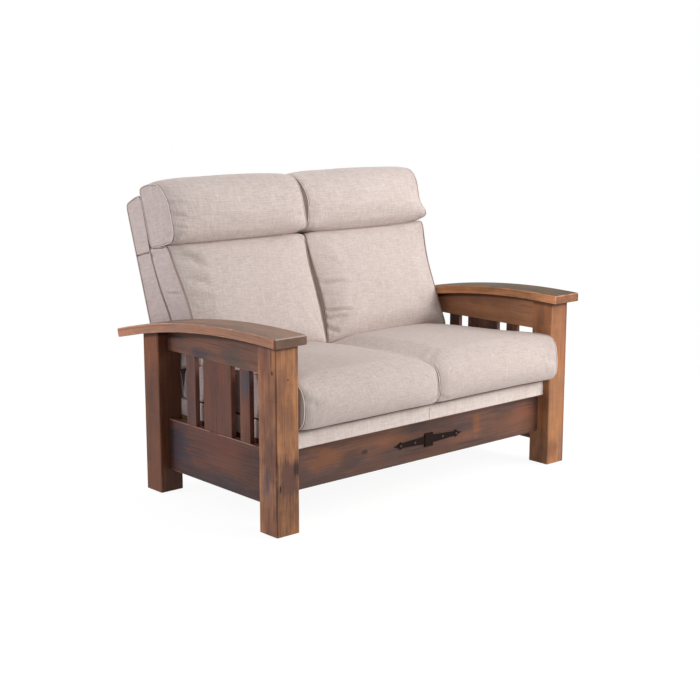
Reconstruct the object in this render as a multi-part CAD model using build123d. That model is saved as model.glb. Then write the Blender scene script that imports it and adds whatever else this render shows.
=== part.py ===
from build123d import *
import math
import os

# Two-seat mission settle: square posts, bowed arms, slatted sides, two sprung seats and two leaning backs.
# Lengths are millimetres and angles are degrees. X runs to the right as seen from the front, Y runs from
# the front to the rear and Z runs up. While the pieces are made, Y is nought on the front faces of the
# front posts. Each piece is moved at the end so that the origin lies on the floor under the middle of the
# settle. The pieces of the right side, which is +X, are modelled and mirrored to the left side.

# Posts and frame
post_size = 89.0
frame_width = 1352.0
frame_depth = 727.0
post_ease = 2.5
joint_fit = 0.15
tenon_thickness = 12.0
tenon_length = 24.0
tenon_shoulder = 15.0
board_ease = 1.5

# Glides under the posts
glide_radius = 14.0
glide_height = 3.0
glide_pin_radius = 1.6
glide_pin_length = 15.0
glide_sides = 16

# Bowed arms
arm_thickness = 30.5
arm_height = 638.0
arm_bow_radius = 3050.0
arm_peak_y = 125.0
arm_front_overhang = 29.4
arm_rear_reach = 124.0
arm_outer_overhang = 26.5
arm_inner_overhang = 11.9
arm_ease = 3.0
arm_seat_gap = 0.3
dowel_radius = 6.0
dowel_in_post = 32.0
dowel_in_arm = 16.0
dowel_spacing = 44.0
dowel_end_gap = 1.0

# Slatted sides
side_rail_thickness = 25.0
side_rail_setback = 40.0
lower_rail_bottom = 79.0
lower_rail_height = 180.0
upper_rail_height = 110.5
upper_tenon_height = 34.0
slat_thickness = 19.0
narrow_slat_width = 51.0
wide_slat_width = 152.0
slat_gap = 47.0
slat_tenon_length = 12.0
slat_tenon_thickness = 9.0
slat_tenon_shoulder = 5.0

# Front and rear rails, the cleats on their inner faces and the stretcher between the cleats
seat_level = 260.0
front_rail_setback = 52.0
rear_rail_setback = 27.0
rail_thickness = 25.0
rail_height = 139.0
cleat_height = 40.0
front_cleat_depth = 30.0
rear_cleat_depth = 60.0
cleat_end_gap = 2.0
stretcher_width = 44.0
stretcher_height = 70.0
stretcher_tenon_length = 12.0
stretcher_tenon_height = 20.0

# Ornamental strap on the front rail, drawn about its own middle
strap_centre_x = 24.0
strap_centre_z = 187.0
strap_thickness = 2.5
strap_half_length = 162.0
strap_root_half = 14.5
strap_neck_share = 0.747
strap_neck_half = 8.0
strap_lobe_share = 0.815
strap_lobe_half = 13.0
strap_hollow_share = 0.2
strap_block_half_width = 19.3
strap_block_half_height = 23.2
strap_block_thickness = 5.0
strap_inner_screw_share = 0.407
strap_screw_head_radius = 3.6
strap_screw_head_height = 2.2
strap_screw_radius = 1.7
strap_screw_length = 16.0
strap_screw_sides = 16

# Screws, bolts and dowels inside the frame, cut with flats in place of their round
fastener_sides = 8
screw_fit = 0.1
screw_tip_gap = 1.0
cleat_screw_radius = 2.5
cleat_screw_head_radius = 4.8
cleat_screw_head_height = 3.0
cleat_screw_bite = 18.0
cleat_screw_inset = 90.0
seat_screw_inset = 110.0
seat_screw_bite = 22.0
back_bolt_radius = 4.0
back_bolt_head_radius = 8.0
back_bolt_head_height = 5.0
back_bolt_bite = 60.0
back_bolt_inset = 120.0
post_screw_bite = 40.0
post_screw_inset = 14.0

# Seat units: a hardwood frame, springs in clips, a pad and a cloth cover
seat_split_gap = 2.0
seat_side_gap = 2.0
seat_back_gap = 2.0
deck_overhang = 26.0
cover_wall = 3.0
cover_ease = 4.0
cover_lift = 2.0
cover_slack = 0.3
seat_rail_depth = 89.0
seat_frame_height = 38.0
seat_side_rail_width = 38.0
deck_pad_thickness = 13.0
springs_per_seat = 4
spring_wire = 4.0
spring_width = 48.0
spring_corner = 10.0
spring_bars = 9
clip_leaf = 1.2
clip_depth = 14.0
clip_width = 22.0
clip_play = 0.2
dust_cloth = 1.0
dust_cloth_gap = 2.0

# Back units, measured ahead of the back's rear face and up along its lean
back_lean = 18.1
back_foot_overhang = 13.3
back_side_gap = 2.0
back_depth = 87.0
back_height = 742.0
back_board_thickness = 20.0
back_rail_thickness = 20.0
back_rail_height = 60.0
back_rail_shares = (0.45, 0.96)
back_foot_rail_depth = 45.0
back_foot_rail_height = 38.0
webbing_thickness = 1.5
webbing_width = 50.0
webbing_shares = (0.3, 0.42, 0.54, 0.66, 0.78)

# Filler blocks between the back frames and the rear posts
spacer_foot = 30.0
spacer_width = 35.0
spacer_height = 70.0

# Loose seat cushions and the cushions sewn to the backs
cushion_gap = 0.5
cushion_split_gap = 1.0
cushion_side_gap = 2.0
seat_cushion_height = 168.0
seat_cushion_overhang = 36.0
seat_cushion_setback = 2.8
back_cushion_depth = 200.0
back_cushion_height = 410.0
back_cushion_tuck_share = 0.4
headrest_depth = 200.0
headrest_height = 245.0
headrest_gap = 8.0
cushion_scoop = 8.0
scoop_land = 12.0
seat_scoop_share = 0.84
cushion_section_places = (-1.0, -0.7, 0.7, 1.0)
cushion_section_draws = (1.0, 0.1, 0.1, 1.0)

cut_overrun = 5.0

# Places that follow from the sizes above
post_outer = frame_width / 2
post_inner = post_outer - post_size
rear_post_y = frame_depth - post_size
side_rail_outer = post_outer - side_rail_setback
side_rail_middle = side_rail_outer - side_rail_thickness / 2
lower_rail_top = lower_rail_bottom + lower_rail_height
upper_rail_bottom = arm_height - arm_thickness - upper_rail_height
arm_outer = post_outer + arm_outer_overhang
arm_inner = post_inner - arm_inner_overhang
arm_axis_z = arm_height - arm_bow_radius
strap_neck_x = strap_half_length * strap_neck_share
strap_lobe_x = strap_half_length * strap_lobe_share
strap_inner_screw_x = strap_half_length * strap_inner_screw_share
front_rail_rear = front_rail_setback + rail_thickness
rear_rail_rear = frame_depth - rear_rail_setback
rear_rail_front = rear_rail_rear - rail_thickness
rail_bottom = seat_level - rail_height
cleat_bottom = seat_level - cleat_height
front_cleat_rear = front_rail_rear + front_cleat_depth
rear_cleat_front = rear_rail_front - rear_cleat_depth
lean_cos = math.cos(math.radians(back_lean))
lean_sin = math.sin(math.radians(back_lean))
back_foot_y = frame_depth + back_foot_overhang
unit_inner = seat_split_gap / 2
unit_outer = post_inner - seat_side_gap
back_outer = arm_inner - back_side_gap
deck_front = front_rail_setback - deck_overhang
deck_rear = back_foot_y - back_depth / lean_cos - seat_back_gap
seat_skin = cover_wall + cover_slack
seat_frame_top = seat_level + seat_frame_height
clip_height = spring_wire + 2 * clip_leaf + clip_play
deck_pad_bottom = seat_frame_top + clip_height + cover_slack
deck_top = deck_pad_bottom + deck_pad_thickness + cover_slack + cover_wall
seat_cushion_front = -seat_cushion_overhang
seat_cushion_depth = deck_rear - seat_cushion_setback - seat_cushion_front
back_cushion_foot = deck_top - seat_level + seat_cushion_height * back_cushion_tuck_share
headrest_foot = back_cushion_foot + back_cushion_height + headrest_gap


def block(x0, x1, y0, y1, z0, z1):
    """Box between two corners."""
    size = (x1 - x0, y1 - y0, z1 - z0)
    return Pos((x0 + x1) / 2, (y0 + y1) / 2, (z0 + z1) / 2) * Box(*size)


def grown(box, by):
    """The box of six limits, made larger by the same amount on every side."""
    x0, x1, y0, y1, z0, z1 = box
    return block(x0 - by, x1 + by, y0 - by, y1 + by, z0 - by, z1 + by)


def loop(corners, bulges=None):
    """Face inside corners taken anticlockwise, each edge bowed outwards by its bulge."""
    bulges = bulges or [0] * len(corners)
    edges = []
    for start, end, bulge in zip(corners, corners[1:] + corners[:1], bulges):
        edges.append(SagittaArc(start, end, -bulge) if bulge else Line(start, end))
    return make_face(Curve() + edges)


def side_slab(face, x0, x1):
    """Solid between x0 and x1 from a face drawn in Y and Z."""
    return extrude(Plane.YZ.offset(x0) * face, amount=x1 - x0)


def pin(point, direction, radius, length):
    """Cylinder that starts at a point and runs along a direction."""
    return Plane(origin=point, z_dir=direction) * Cylinder(
        radius, length, align=(Align.CENTER, Align.CENTER, Align.MIN)
    )


def rod(point, direction, radius, length, sides=fastener_sides):
    """Pin with flats in place of its round."""
    return extrude(Plane(origin=point, z_dir=direction) * RegularPolygon(radius, sides), amount=length)


def screw(seat, direction, radius, length, head_radius, head_height):
    """Screw whose head stands on its seat and whose shank runs along the direction."""
    outwards = tuple(-part for part in direction)
    return rod(seat, direction, radius, length) + rod(seat, outwards, head_radius, head_height)


def screw_hole(seat, direction, radius, length):
    """Hole for a screw's shank, a little wider and deeper than the shank."""
    start = tuple(s - d * cut_overrun for s, d in zip(seat, direction))
    return rod(start, direction, radius + screw_fit, length + cut_overrun + screw_tip_gap)


def long_edges(shape, axis):
    """Edges of a board that run along an axis."""
    return shape.edges().filter_by(axis)


def bow_point(y, depth):
    """Point (y, z) on the arc that lies a depth under the arm's top."""
    radius = arm_bow_radius - depth
    return (y, arm_axis_z + math.sqrt(radius**2 - (y - arm_peak_y) ** 2))


def bow_arc(y0, y1, depth):
    """Arc concentric with the arm's top, from y0 to y1."""
    return ThreePointArc(bow_point(y0, depth), bow_point((y0 + y1) / 2, depth), bow_point(y1, depth))


def bowed_block(x0, x1, y0, y1, z0):
    """Block that stands on z0 and whose top is cut to the arm's underside."""
    depth = arm_thickness + arm_seat_gap
    low_front, low_rear = (y0, z0), (y1, z0)
    outline = Curve() + [
        Line(bow_point(y0, depth), low_front),
        Line(low_front, low_rear),
        Line(low_rear, bow_point(y1, depth)),
        bow_arc(y1, y0, depth),
    ]
    return side_slab(make_face(outline), x0, x1)


def back_point(ahead, up):
    """Point (y, z) ahead of the back's rear face and up along its lean."""
    return (back_foot_y - ahead * lean_cos + up * lean_sin, seat_level + ahead * lean_sin + up * lean_cos)


def level_point(ahead, height):
    """Point (y, z) ahead of the back's rear face at a height over the seat level."""
    return back_point(ahead, (height - ahead * lean_sin) / lean_cos)


# Tenons as limits in X, Y and Z: their roots lie inside the rail that carries them
half_tenon = tenon_thickness / 2
side_tenon_x = (side_rail_middle - half_tenon, side_rail_middle + half_tenon)
front_tenon_y = (post_size - tenon_length, post_size + tenon_length)
rear_tenon_y = (rear_post_y - tenon_length, rear_post_y + tenon_length)
lower_tenon_z = (lower_rail_bottom + tenon_shoulder, lower_rail_top - tenon_shoulder)
upper_tenon_bottom = upper_rail_bottom + tenon_shoulder
upper_tenon_z = (upper_tenon_bottom, upper_tenon_bottom + upper_tenon_height)
cross_tenon_x = (post_inner - tenon_length, post_inner + tenon_length)
cross_tenon_z = (rail_bottom + tenon_shoulder, seat_level - tenon_shoulder)
front_rail_middle = front_rail_setback + rail_thickness / 2
rear_rail_middle = rear_rail_front + rail_thickness / 2
front_cross_y = (front_rail_middle - half_tenon, front_rail_middle + half_tenon)
rear_cross_y = (rear_rail_middle - half_tenon, rear_rail_middle + half_tenon)
lower_tenons = [(*side_tenon_x, *y, *lower_tenon_z) for y in (front_tenon_y, rear_tenon_y)]
upper_tenons = [(*side_tenon_x, *y, *upper_tenon_z) for y in (front_tenon_y, rear_tenon_y)]
front_rail_tenon = (*cross_tenon_x, *front_cross_y, *cross_tenon_z)
rear_rail_tenon = (*cross_tenon_x, *rear_cross_y, *cross_tenon_z)


def slat_limits():
    """Front and rear edges of the three slats of a side, centred between the posts."""
    middle = (post_size + rear_post_y) / 2
    inner = wide_slat_width / 2
    outer = inner + slat_gap
    far = outer + narrow_slat_width
    return {
        "front_slat": (middle - far, middle - outer),
        "wide_slat": (middle - inner, middle + inner),
        "rear_slat": (middle + outer, middle + far),
    }


def slat_tenon(y0, y1):
    """Limits of the thinner core of a slat, which ends in both rails."""
    half = slat_tenon_thickness / 2
    return (
        side_rail_middle - half,
        side_rail_middle + half,
        y0 + slat_tenon_shoulder,
        y1 - slat_tenon_shoulder,
        lower_rail_top - slat_tenon_length,
        upper_rail_bottom + slat_tenon_length,
    )


def dowel_places():
    """Axes (x, y) of the two dowels over each post of the right side."""
    x = post_outer - post_size / 2
    middles = (post_size / 2, frame_depth - post_size / 2)
    return [(x + side * dowel_spacing / 2, y) for y in middles for side in (-1, 1)]


def dowel(x, y, extra_radius=0.0, extra_length=0.0):
    """Dowel that crosses the joint between a post's top and the arm."""
    joint = bow_point(y, arm_thickness)[1]
    start = (x, y, joint - dowel_in_post - extra_length)
    length = dowel_in_post + dowel_in_arm + 2 * extra_length
    return rod(start, (0, 0, 1), dowel_radius + extra_radius, length)


def dowel_holes():
    return [dowel(x, y, joint_fit, dowel_end_gap) for x, y in dowel_places()]


def make_post(y0, tenons, screws):
    """Square post with mortises, dowel holes, screw holes and a hole for the glide's pin."""
    post = bowed_block(post_inner, post_outer, y0, y0 + post_size, glide_height)
    post = chamfer(long_edges(post, Axis.Z), post_ease)
    for tenon in tenons:
        post -= grown(tenon, joint_fit)
    for hole in dowel_holes():
        post -= hole
    post -= glide_pin(y0 + post_size / 2, joint_fit, dowel_end_gap)
    return drilled(post, screws, cleat_screw_radius)


def glide_pin(y, extra_radius=0.0, extra_length=0.0):
    """Pin of a glide, which stands in the foot of a post."""
    x = post_outer - post_size / 2
    start = (x, y, glide_height - cover_slack)
    return rod(start, (0, 0, 1), glide_pin_radius + extra_radius, glide_pin_length + extra_length)


def make_glides():
    """Nail-on glides of both sides."""
    glides = []
    for y in (post_size / 2, frame_depth - post_size / 2):
        middle = (post_outer - post_size / 2, y, 0)
        disc = rod(middle, (0, 0, 1), glide_radius, glide_height, glide_sides)
        glides.append(disc + glide_pin(y))
    return both_sides(glides)


def make_arm():
    """Bowed arm, its rear end cut square to the bow, with every edge eased by a small flat."""
    front = -arm_front_overhang
    rear = frame_depth + arm_rear_reach
    under_rear = arm_peak_y + (rear - arm_peak_y) * (1 - arm_thickness / arm_bow_radius)
    outline = Curve() + [
        bow_arc(front, under_rear, arm_thickness),
        Line(bow_point(under_rear, arm_thickness), bow_point(rear, 0)),
        bow_arc(rear, front, 0),
        Line(bow_point(front, 0), bow_point(front, arm_thickness)),
    ]
    arm = side_slab(make_face(outline), arm_inner, arm_outer)
    arm = chamfer(arm.edges(), arm_ease)
    for hole in dowel_holes():
        arm -= hole
    return arm


def make_lower_rail():
    """Lower side rail with a tenon at each end and mortises for the slats."""
    inner = side_rail_outer - side_rail_thickness
    rail = block(inner, side_rail_outer, post_size, rear_post_y, lower_rail_bottom, lower_rail_top)
    rail = chamfer(long_edges(rail, Axis.Y), board_ease)
    for tenon in lower_tenons:
        rail += block(*tenon)
    for y0, y1 in slat_limits().values():
        rail -= grown(slat_tenon(y0, y1), joint_fit)
    return rail


def make_upper_rail():
    """Upper side rail, arched to the arm, with a tenon at each end and mortises for the slats."""
    inner = side_rail_outer - side_rail_thickness
    rail = bowed_block(inner, side_rail_outer, post_size, rear_post_y, upper_rail_bottom)
    rail = chamfer(long_edges(rail, Axis.Y), board_ease)
    for tenon in upper_tenons:
        rail += block(*tenon)
    for y0, y1 in slat_limits().values():
        rail -= grown(slat_tenon(y0, y1), joint_fit)
    return rail


def make_slat(y0, y1):
    """Slat between the side rails, with a stub tenon at each end."""
    x0 = side_rail_middle - slat_thickness / 2
    slat = block(x0, x0 + slat_thickness, y0, y1, lower_rail_top, upper_rail_bottom)
    slat = chamfer(long_edges(slat, Axis.Z), board_ease)
    return slat + block(*slat_tenon(y0, y1))


def cross_rail(y0, tenon):
    """Rail between two posts with a tenon at each end."""
    rail = block(-post_inner, post_inner, y0, y0 + rail_thickness, rail_bottom, seat_level)
    rail = chamfer(long_edges(rail, Axis.X), board_ease)
    end = block(*tenon)
    return rail + end + mirror(end, about=Plane.YZ)


def strap_screw_places():
    """Seats of the strap's screws, on the face of the strap."""
    y = front_rail_setback - strap_thickness
    offsets = [side * x for side in (-1, 1) for x in (strap_inner_screw_x, strap_lobe_x)]
    return [(strap_centre_x + offset, y, strap_centre_z) for offset in offsets]


def strap_screw_lines():
    """The strap's screws, as seat, direction and length."""
    return [(place, (0, 1, 0), strap_screw_length) for place in strap_screw_places()]


def make_strap():
    """Forged strap: a raised middle block and two tapered arms that end in spear points."""
    spear = [
        (strap_neck_x, -strap_neck_half),
        (strap_lobe_x, -strap_lobe_half),
        (strap_half_length, 0),
        (strap_lobe_x, strap_lobe_half),
        (strap_neck_x, strap_neck_half),
        (0, strap_root_half),
    ]
    hollow = -strap_hollow_share * strap_lobe_half
    other_half = [(-x, -z) for x, z in spear]
    outline = loop(spear + other_half, 2 * [0, hollow, hollow, 0, 0, 0])
    plate = extrude(outline, amount=strap_thickness)
    middle = Rectangle(2 * strap_block_half_width, 2 * strap_block_half_height)
    middle = extrude(middle, amount=strap_block_thickness)
    middle = chamfer(middle.faces().sort_by(Axis.Z)[-1].edges(), strap_thickness / 2)
    strap = Plane.XZ.offset(-front_rail_setback) * (plate + middle)
    strap = Pos(strap_centre_x, 0, strap_centre_z) * strap
    return drilled(strap, strap_screw_lines(), strap_screw_radius)


def make_strap_screws():
    """Screws that hold the strap, their heads in sight."""
    screws = []
    for seat in strap_screw_places():
        shank = rod(seat, (0, 1, 0), strap_screw_radius, strap_screw_length)
        head = (0, -1, 0), strap_screw_head_radius, strap_screw_head_height
        screws.append(rod(seat, *head, strap_screw_sides) + shank)
    return Compound(children=screws)


def cleat_screw_places():
    """Places along X of the screws of a cleat."""
    far = post_inner - cleat_screw_inset
    return (-far, -far / 2, far / 2, far)


def cleat_screws():
    """Screws through both cleats into the rails, as seat, direction and length."""
    z = seat_level - cleat_height / 2
    front = [((x, front_cleat_rear, z), (0, -1, 0), front_cleat_depth) for x in cleat_screw_places()]
    rear = [((x, rear_cleat_front, z), (0, 1, 0), rear_cleat_depth) for x in cleat_screw_places()]
    return [(seat, direction, depth + cleat_screw_bite) for seat, direction, depth in front + rear]


def make_screws(screws, radius, head_radius, head_height):
    """Screws from a list of seat, direction and length."""
    solids = [screw(seat, way, radius, length, head_radius, head_height) for seat, way, length in screws]
    return Compound(children=solids)


def drilled(shape, screws, radius):
    """The shape with a hole for each screw."""
    for seat, way, length in screws:
        shape -= screw_hole(seat, way, radius, length)
    return shape


def make_front_rail():
    rail = cross_rail(front_rail_setback, front_rail_tenon)
    rail = drilled(rail, strap_screw_lines(), strap_screw_radius)
    return drilled(rail, cleat_screws(), cleat_screw_radius)


def make_rear_rail():
    rail = cross_rail(rear_rail_front, rear_rail_tenon)
    rail = drilled(rail, cleat_screws(), cleat_screw_radius)
    return drilled(rail, back_bolts(), back_bolt_radius)


def stretcher_limits(tenon):
    """Limits of the stretcher, or of the core that ends in both cleats."""
    half = stretcher_width / 2 - (tenon_shoulder if tenon else 0)
    reach = stretcher_tenon_length if tenon else 0
    middle = seat_level - cleat_height / 2
    z0 = middle - stretcher_tenon_height / 2 if tenon else seat_level - stretcher_height
    z1 = middle + stretcher_tenon_height / 2 if tenon else seat_level
    return (-half, half, front_cleat_rear - reach, rear_cleat_front + reach, z0, z1)


def make_cleat(y0, y1):
    """Cleat that carries one edge of both seats."""
    end = post_inner - cleat_end_gap
    cleat = block(-end, end, y0, y1, cleat_bottom, seat_level)
    cleat -= grown(stretcher_limits(tenon=True), joint_fit)
    cleat = drilled(cleat, cleat_screws(), cleat_screw_radius)
    return drilled(cleat, seat_screws(), cleat_screw_radius)


def make_stretcher():
    """Stretcher under the split between the seats, tenoned into both cleats."""
    return block(*stretcher_limits(tenon=False)) + block(*stretcher_limits(tenon=True))


def seat_screws():
    """Screws up through the cleats into both seat frames, as seat, direction and length."""
    frame_front = deck_front + seat_skin + seat_rail_depth
    frame_rear = deck_rear - seat_skin
    front_y = (front_rail_rear + min(front_cleat_rear, frame_front)) / 2
    rear_y = (rear_cleat_front + frame_rear) / 2
    right = (unit_inner + seat_screw_inset, unit_outer - seat_screw_inset)
    places = [side * x for side in (-1, 1) for x in right]
    length = cleat_height + seat_screw_bite
    return [((x, y, cleat_bottom), (0, 0, 1), length) for y in (front_y, rear_y) for x in places]


def seat_frame_limits():
    """Outer limits in X and Y of the right seat frame."""
    return (unit_inner + seat_skin, unit_outer - seat_skin, deck_front + seat_skin, deck_rear - seat_skin)


def make_seat_cross_rail(front):
    """Wide rail at the front or the rear of a seat frame."""
    x0, x1, y0, y1 = seat_frame_limits()
    if front:
        y1 = y0 + seat_rail_depth
    else:
        y0 = y1 - seat_rail_depth
    rail = block(x0, x1, y0, y1, seat_level, seat_frame_top)
    return drilled(rail, seat_screws(), cleat_screw_radius)


def make_seat_side_rails():
    """The two side rails of a seat frame, butted between the wide rails."""
    x0, x1, y0, y1 = seat_frame_limits()
    rest = (y0 + seat_rail_depth, y1 - seat_rail_depth, seat_level, seat_frame_top)
    inner = block(x0, x0 + seat_side_rail_width, *rest)
    outer = block(x1 - seat_side_rail_width, x1, *rest)
    return Compound(children=[inner, outer])


def spring_places():
    """Middles along X of the springs of the right seat."""
    x0, x1, _, _ = seat_frame_limits()
    pitch = (x1 - x0) / springs_per_seat
    return [x0 + pitch * (number + 0.5) for number in range(springs_per_seat)]


def spring_ends():
    """Middles along Y of the first and the last bar of a spring, inside the clips."""
    _, _, y0, y1 = seat_frame_limits()
    return y0 + seat_rail_depth - clip_depth / 2, y1 - seat_rail_depth + clip_depth / 2


def make_springs():
    """Sinuous springs: bars across joined by legs at alternate sides, in a four-sided wire."""
    first, last = spring_ends()
    pitch = (last - first) / (spring_bars - 1)
    z = seat_frame_top + clip_leaf + (spring_wire + clip_play) / 2
    half = spring_width / 2
    springs = []
    for x in spring_places():
        path = [(x - half + spring_corner, first, z)]
        for bar in range(spring_bars):
            side = 1 if bar % 2 == 0 else -1
            y = first + pitch * bar
            path.append((x + side * (half - spring_corner), y, z))
            if bar < spring_bars - 1:
                path.append((x + side * half, y + spring_corner, z))
                path.append((x + side * half, y + pitch - spring_corner, z))
                path.append((x + side * (half - spring_corner), y + pitch, z))
        section = Plane(origin=path[0], z_dir=(1, 0, 0)) * Rectangle(spring_wire, spring_wire)
        springs.append(sweep(section, path=Polyline(*path), transition=Transition.RIGHT))
    return Compound(children=springs)


def make_spring_clips():
    """Folded clips on the seat frame, each round the end bar of a spring and open inwards."""
    half = clip_depth / 2
    wire = (spring_wire + clip_play) / 2
    z0, z1 = seat_frame_top, seat_frame_top + clip_height
    clips = []
    for x in spring_places():
        for y, way in zip(spring_ends(), (1, -1)):
            clip = block(x - clip_width / 2, x + clip_width / 2, y - half, y + half, z0, z1)
            y0, y1 = sorted((y - way * wire, y + way * (half + cut_overrun)))
            channel = (x - clip_width, x + clip_width, y0, y1, z0 + clip_leaf, z1 - clip_leaf)
            clips.append(clip - block(*channel))
    return Compound(children=clips)


def make_deck_pad():
    """Felt and foam pad between the springs and the deck cloth."""
    x0, x1, y0, y1 = seat_frame_limits()
    return block(x0, x1, y0, y1, deck_pad_bottom, deck_pad_bottom + deck_pad_thickness)


def make_deck_cover():
    """Cloth cover of a seat frame, open below, with eased corners."""
    x0, x1, y0, y1 = seat_frame_limits()
    z0 = seat_level + cover_lift
    cover = block(unit_inner, unit_outer, deck_front, deck_rear, z0, deck_top)
    top = cover.faces().sort_by(Axis.Z)[-1].edges()
    cover = chamfer(long_edges(cover, Axis.Z) + top, cover_ease)
    hollow = grown((x0, x1, y0, y1, seat_level, deck_top - seat_skin), cover_slack)
    return cover - hollow


def make_dust_cloth():
    """Thin cloth under a seat, between the cleats and the stretcher."""
    _, x1, _, _ = seat_frame_limits()
    x0 = stretcher_width / 2 + dust_cloth_gap
    y0 = front_cleat_rear + dust_cloth_gap
    y1 = rear_cleat_front - dust_cloth_gap
    return block(x0, x1, y0, y1, seat_level - dust_cloth, seat_level)


def leaning_slab(ahead0, ahead1, up0, up1, x0, x1):
    """Slab between two planes of the back, square to its lean."""
    corners = [(ahead1, up0), (ahead0, up0), (ahead0, up1), (ahead1, up1)]
    return side_slab(loop([back_point(*corner) for corner in corners]), x0, x1)


def standing_slab(ahead0, ahead1, height0, up1, x0, x1):
    """Leaning slab whose foot is cut level."""
    corners = [
        level_point(ahead1, height0),
        level_point(ahead0, height0),
        back_point(ahead0, up1),
        back_point(ahead1, up1),
    ]
    return side_slab(loop(corners), x0, x1)


# Planes of the back frame, ahead of the back's rear face
board_rear = seat_skin
board_front = back_depth - seat_skin - webbing_thickness
board_top = back_height - seat_skin
board_outer = back_outer - seat_skin
board_inner = unit_inner + seat_skin


def post_screws():
    """Screws through the outer back board and the spacer into the rear post."""
    x = board_outer - back_board_thickness
    ahead = board_front - spacer_width / 2
    ups = (spacer_foot + post_screw_inset, spacer_foot + spacer_height - post_screw_inset)
    length = post_inner - x + post_screw_bite
    return [((x, *back_point(ahead, up)), (1, 0, 0), length) for up in ups]


def make_spacer():
    """Filler block between the cover of a back and the rear post, leaning with the back."""
    rear = board_front - spacer_width
    top = spacer_foot + spacer_height
    spacer = leaning_slab(rear, board_front, spacer_foot, top, back_outer, post_inner)
    return drilled(spacer, post_screws(), cleat_screw_radius)


def back_bolts():
    """Bolts down through the foot rails of both backs into the rear rail."""
    z = seat_level + back_foot_rail_height
    right = (unit_inner + back_bolt_inset, back_outer - back_bolt_inset)
    places = [side * x for side in (-1, 1) for x in right]
    length = back_foot_rail_height + back_bolt_bite
    return [((x, rear_rail_middle, z), (0, 0, -1), length) for x in places]


def make_back_boards():
    """The two side boards of a back frame, standing on the rear rail and its cleat."""
    board = (board_rear, board_front, 0, board_top)
    inner = standing_slab(*board, board_inner, board_inner + back_board_thickness)
    outer = standing_slab(*board, board_outer - back_board_thickness, board_outer)
    return Compound(children=[inner, drilled(outer, post_screws(), cleat_screw_radius)])


def make_back_rails():
    """Foot rail, middle rail and top rail between the boards of a back frame."""
    x0 = board_inner + back_board_thickness
    x1 = board_outer - back_board_thickness
    y1 = rear_rail_front + back_foot_rail_depth
    foot = block(x0, x1, rear_rail_front, y1, seat_level, seat_level + back_foot_rail_height)
    rails = [drilled(foot, back_bolts(), back_bolt_radius)]
    half = back_rail_height / 2
    for share in back_rail_shares:
        up = back_height * share
        top = min(up + half, board_top)
        rails.append(leaning_slab(board_rear, board_rear + back_rail_thickness, up - half, top, x0, x1))
    return Compound(children=rails)


def make_webbing():
    """Elastic straps across the front edges of the back boards."""
    half = webbing_width / 2
    straps = []
    for share in webbing_shares:
        up = back_height * share
        front = board_front + webbing_thickness
        straps.append(leaning_slab(board_front, front, up - half, up + half, board_inner, board_outer))
    return Compound(children=straps)


def make_back_cover():
    """Cloth cover of a back frame, open at the foot, with eased edges."""
    cover = standing_slab(0, back_depth, cover_lift, back_height, unit_inner, back_outer)
    foot = cover.faces().sort_by(Axis.Z)[0].edges()
    cover = chamfer(cover.edges() - foot, cover_ease)
    inside = (cover_wall, back_depth - cover_wall, -cut_overrun, back_height - cover_wall)
    cover -= standing_slab(*inside, unit_inner + cover_wall, back_outer - cover_wall)
    return drilled(cover, post_screws(), cleat_screw_radius)


def blended(middle, end, draw):
    """Numbers between those of the middle and those of the end, by the draw."""
    return [tuple(m + (e - m) * draw for m, e in zip(a, b)) for a, b in zip(middle, end)]


def cushion_loft(x0, x1, middle, end, place):
    """Cushion lofted across X in straight rulings from one section to the next.

    Each outline row holds a corner's two places and the bulge of the edge that follows it.
    """
    sections = []
    for share, draw in zip(cushion_section_places, cushion_section_draws):
        rows = blended(middle, end, draw)
        x = (x0 + x1) / 2 + share * (x1 - x0) / 2
        face = loop([place(a, b) for a, b, _ in rows], [bulge for _, _, bulge in rows])
        sections.append(Plane.YZ.offset(x) * face)
    return loft(sections, ruled=True)


def scooped(cushion, x0, x1, middle, direction, height, length):
    """The cushion with both sides drawn in between its edges, by two wide cylinders."""
    half = height / 2 - scoop_land
    radius = (half**2 + cushion_scoop**2) / (2 * cushion_scoop)
    for x, way in ((x0, -1), (x1, 1)):
        axis_x = x + way * (radius - cushion_scoop)
        start = (axis_x, *(m - d * length for m, d in zip(middle, direction[1:])))
        cushion -= pin(start, direction, radius, 2 * length)
    return cushion


# Cushion outlines as shares of their depth and height: a corner's two places, then the bulge of its edge
seat_middle_shares = [
    (0.050, 0.0, 0.0),
    (0.985, 0.0, 0.0),
    (1.0, 0.55, 0.0),
    (0.965, 0.76, 0.0),
    (0.80, 0.865, 0.026),
    (0.085, 0.90, 0.0),
    (0.028, 0.76, 0.036),
]
seat_end_shares = [
    (0.060, 0.0, 0.0),
    (0.975, 0.0, 0.0),
    (0.990, 0.48, 0.0),
    (0.960, 0.68, 0.0),
    (0.80, 0.785, 0.012),
    (0.090, 0.84, 0.0),
    (0.045, 0.73, 0.025),
]
back_middle_shares = [
    (0.88, 0.030, 0.0),
    (0.06, 0.105, 0.0),
    (0.0, 0.15, 0.0),
    (0.0, 0.95, 0.0),
    (0.08, 0.985, 0.0),
    (0.72, 0.975, 0.020),
    (0.91, 0.89, 0.055),
    (0.965, 0.12, 0.015),
]
back_end_shares = [
    (0.76, 0.005, 0.0),
    (0.08, 0.10, 0.0),
    (0.0, 0.15, 0.0),
    (0.0, 0.94, 0.0),
    (0.08, 0.975, 0.0),
    (0.58, 0.98, 0.0),
    (0.67, 0.93, 0.045),
    (0.845, 0.10, 0.015),
]
headrest_middle_shares = [
    (0.965, 0.055, 0.0),
    (0.05, 0.01, 0.0),
    (0.0, 0.05, 0.0),
    (0.0, 0.88, 0.0),
    (0.14, 0.97, 0.030),
    (0.70, 0.93, 0.035),
    (0.92, 0.78, 0.055),
]
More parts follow.
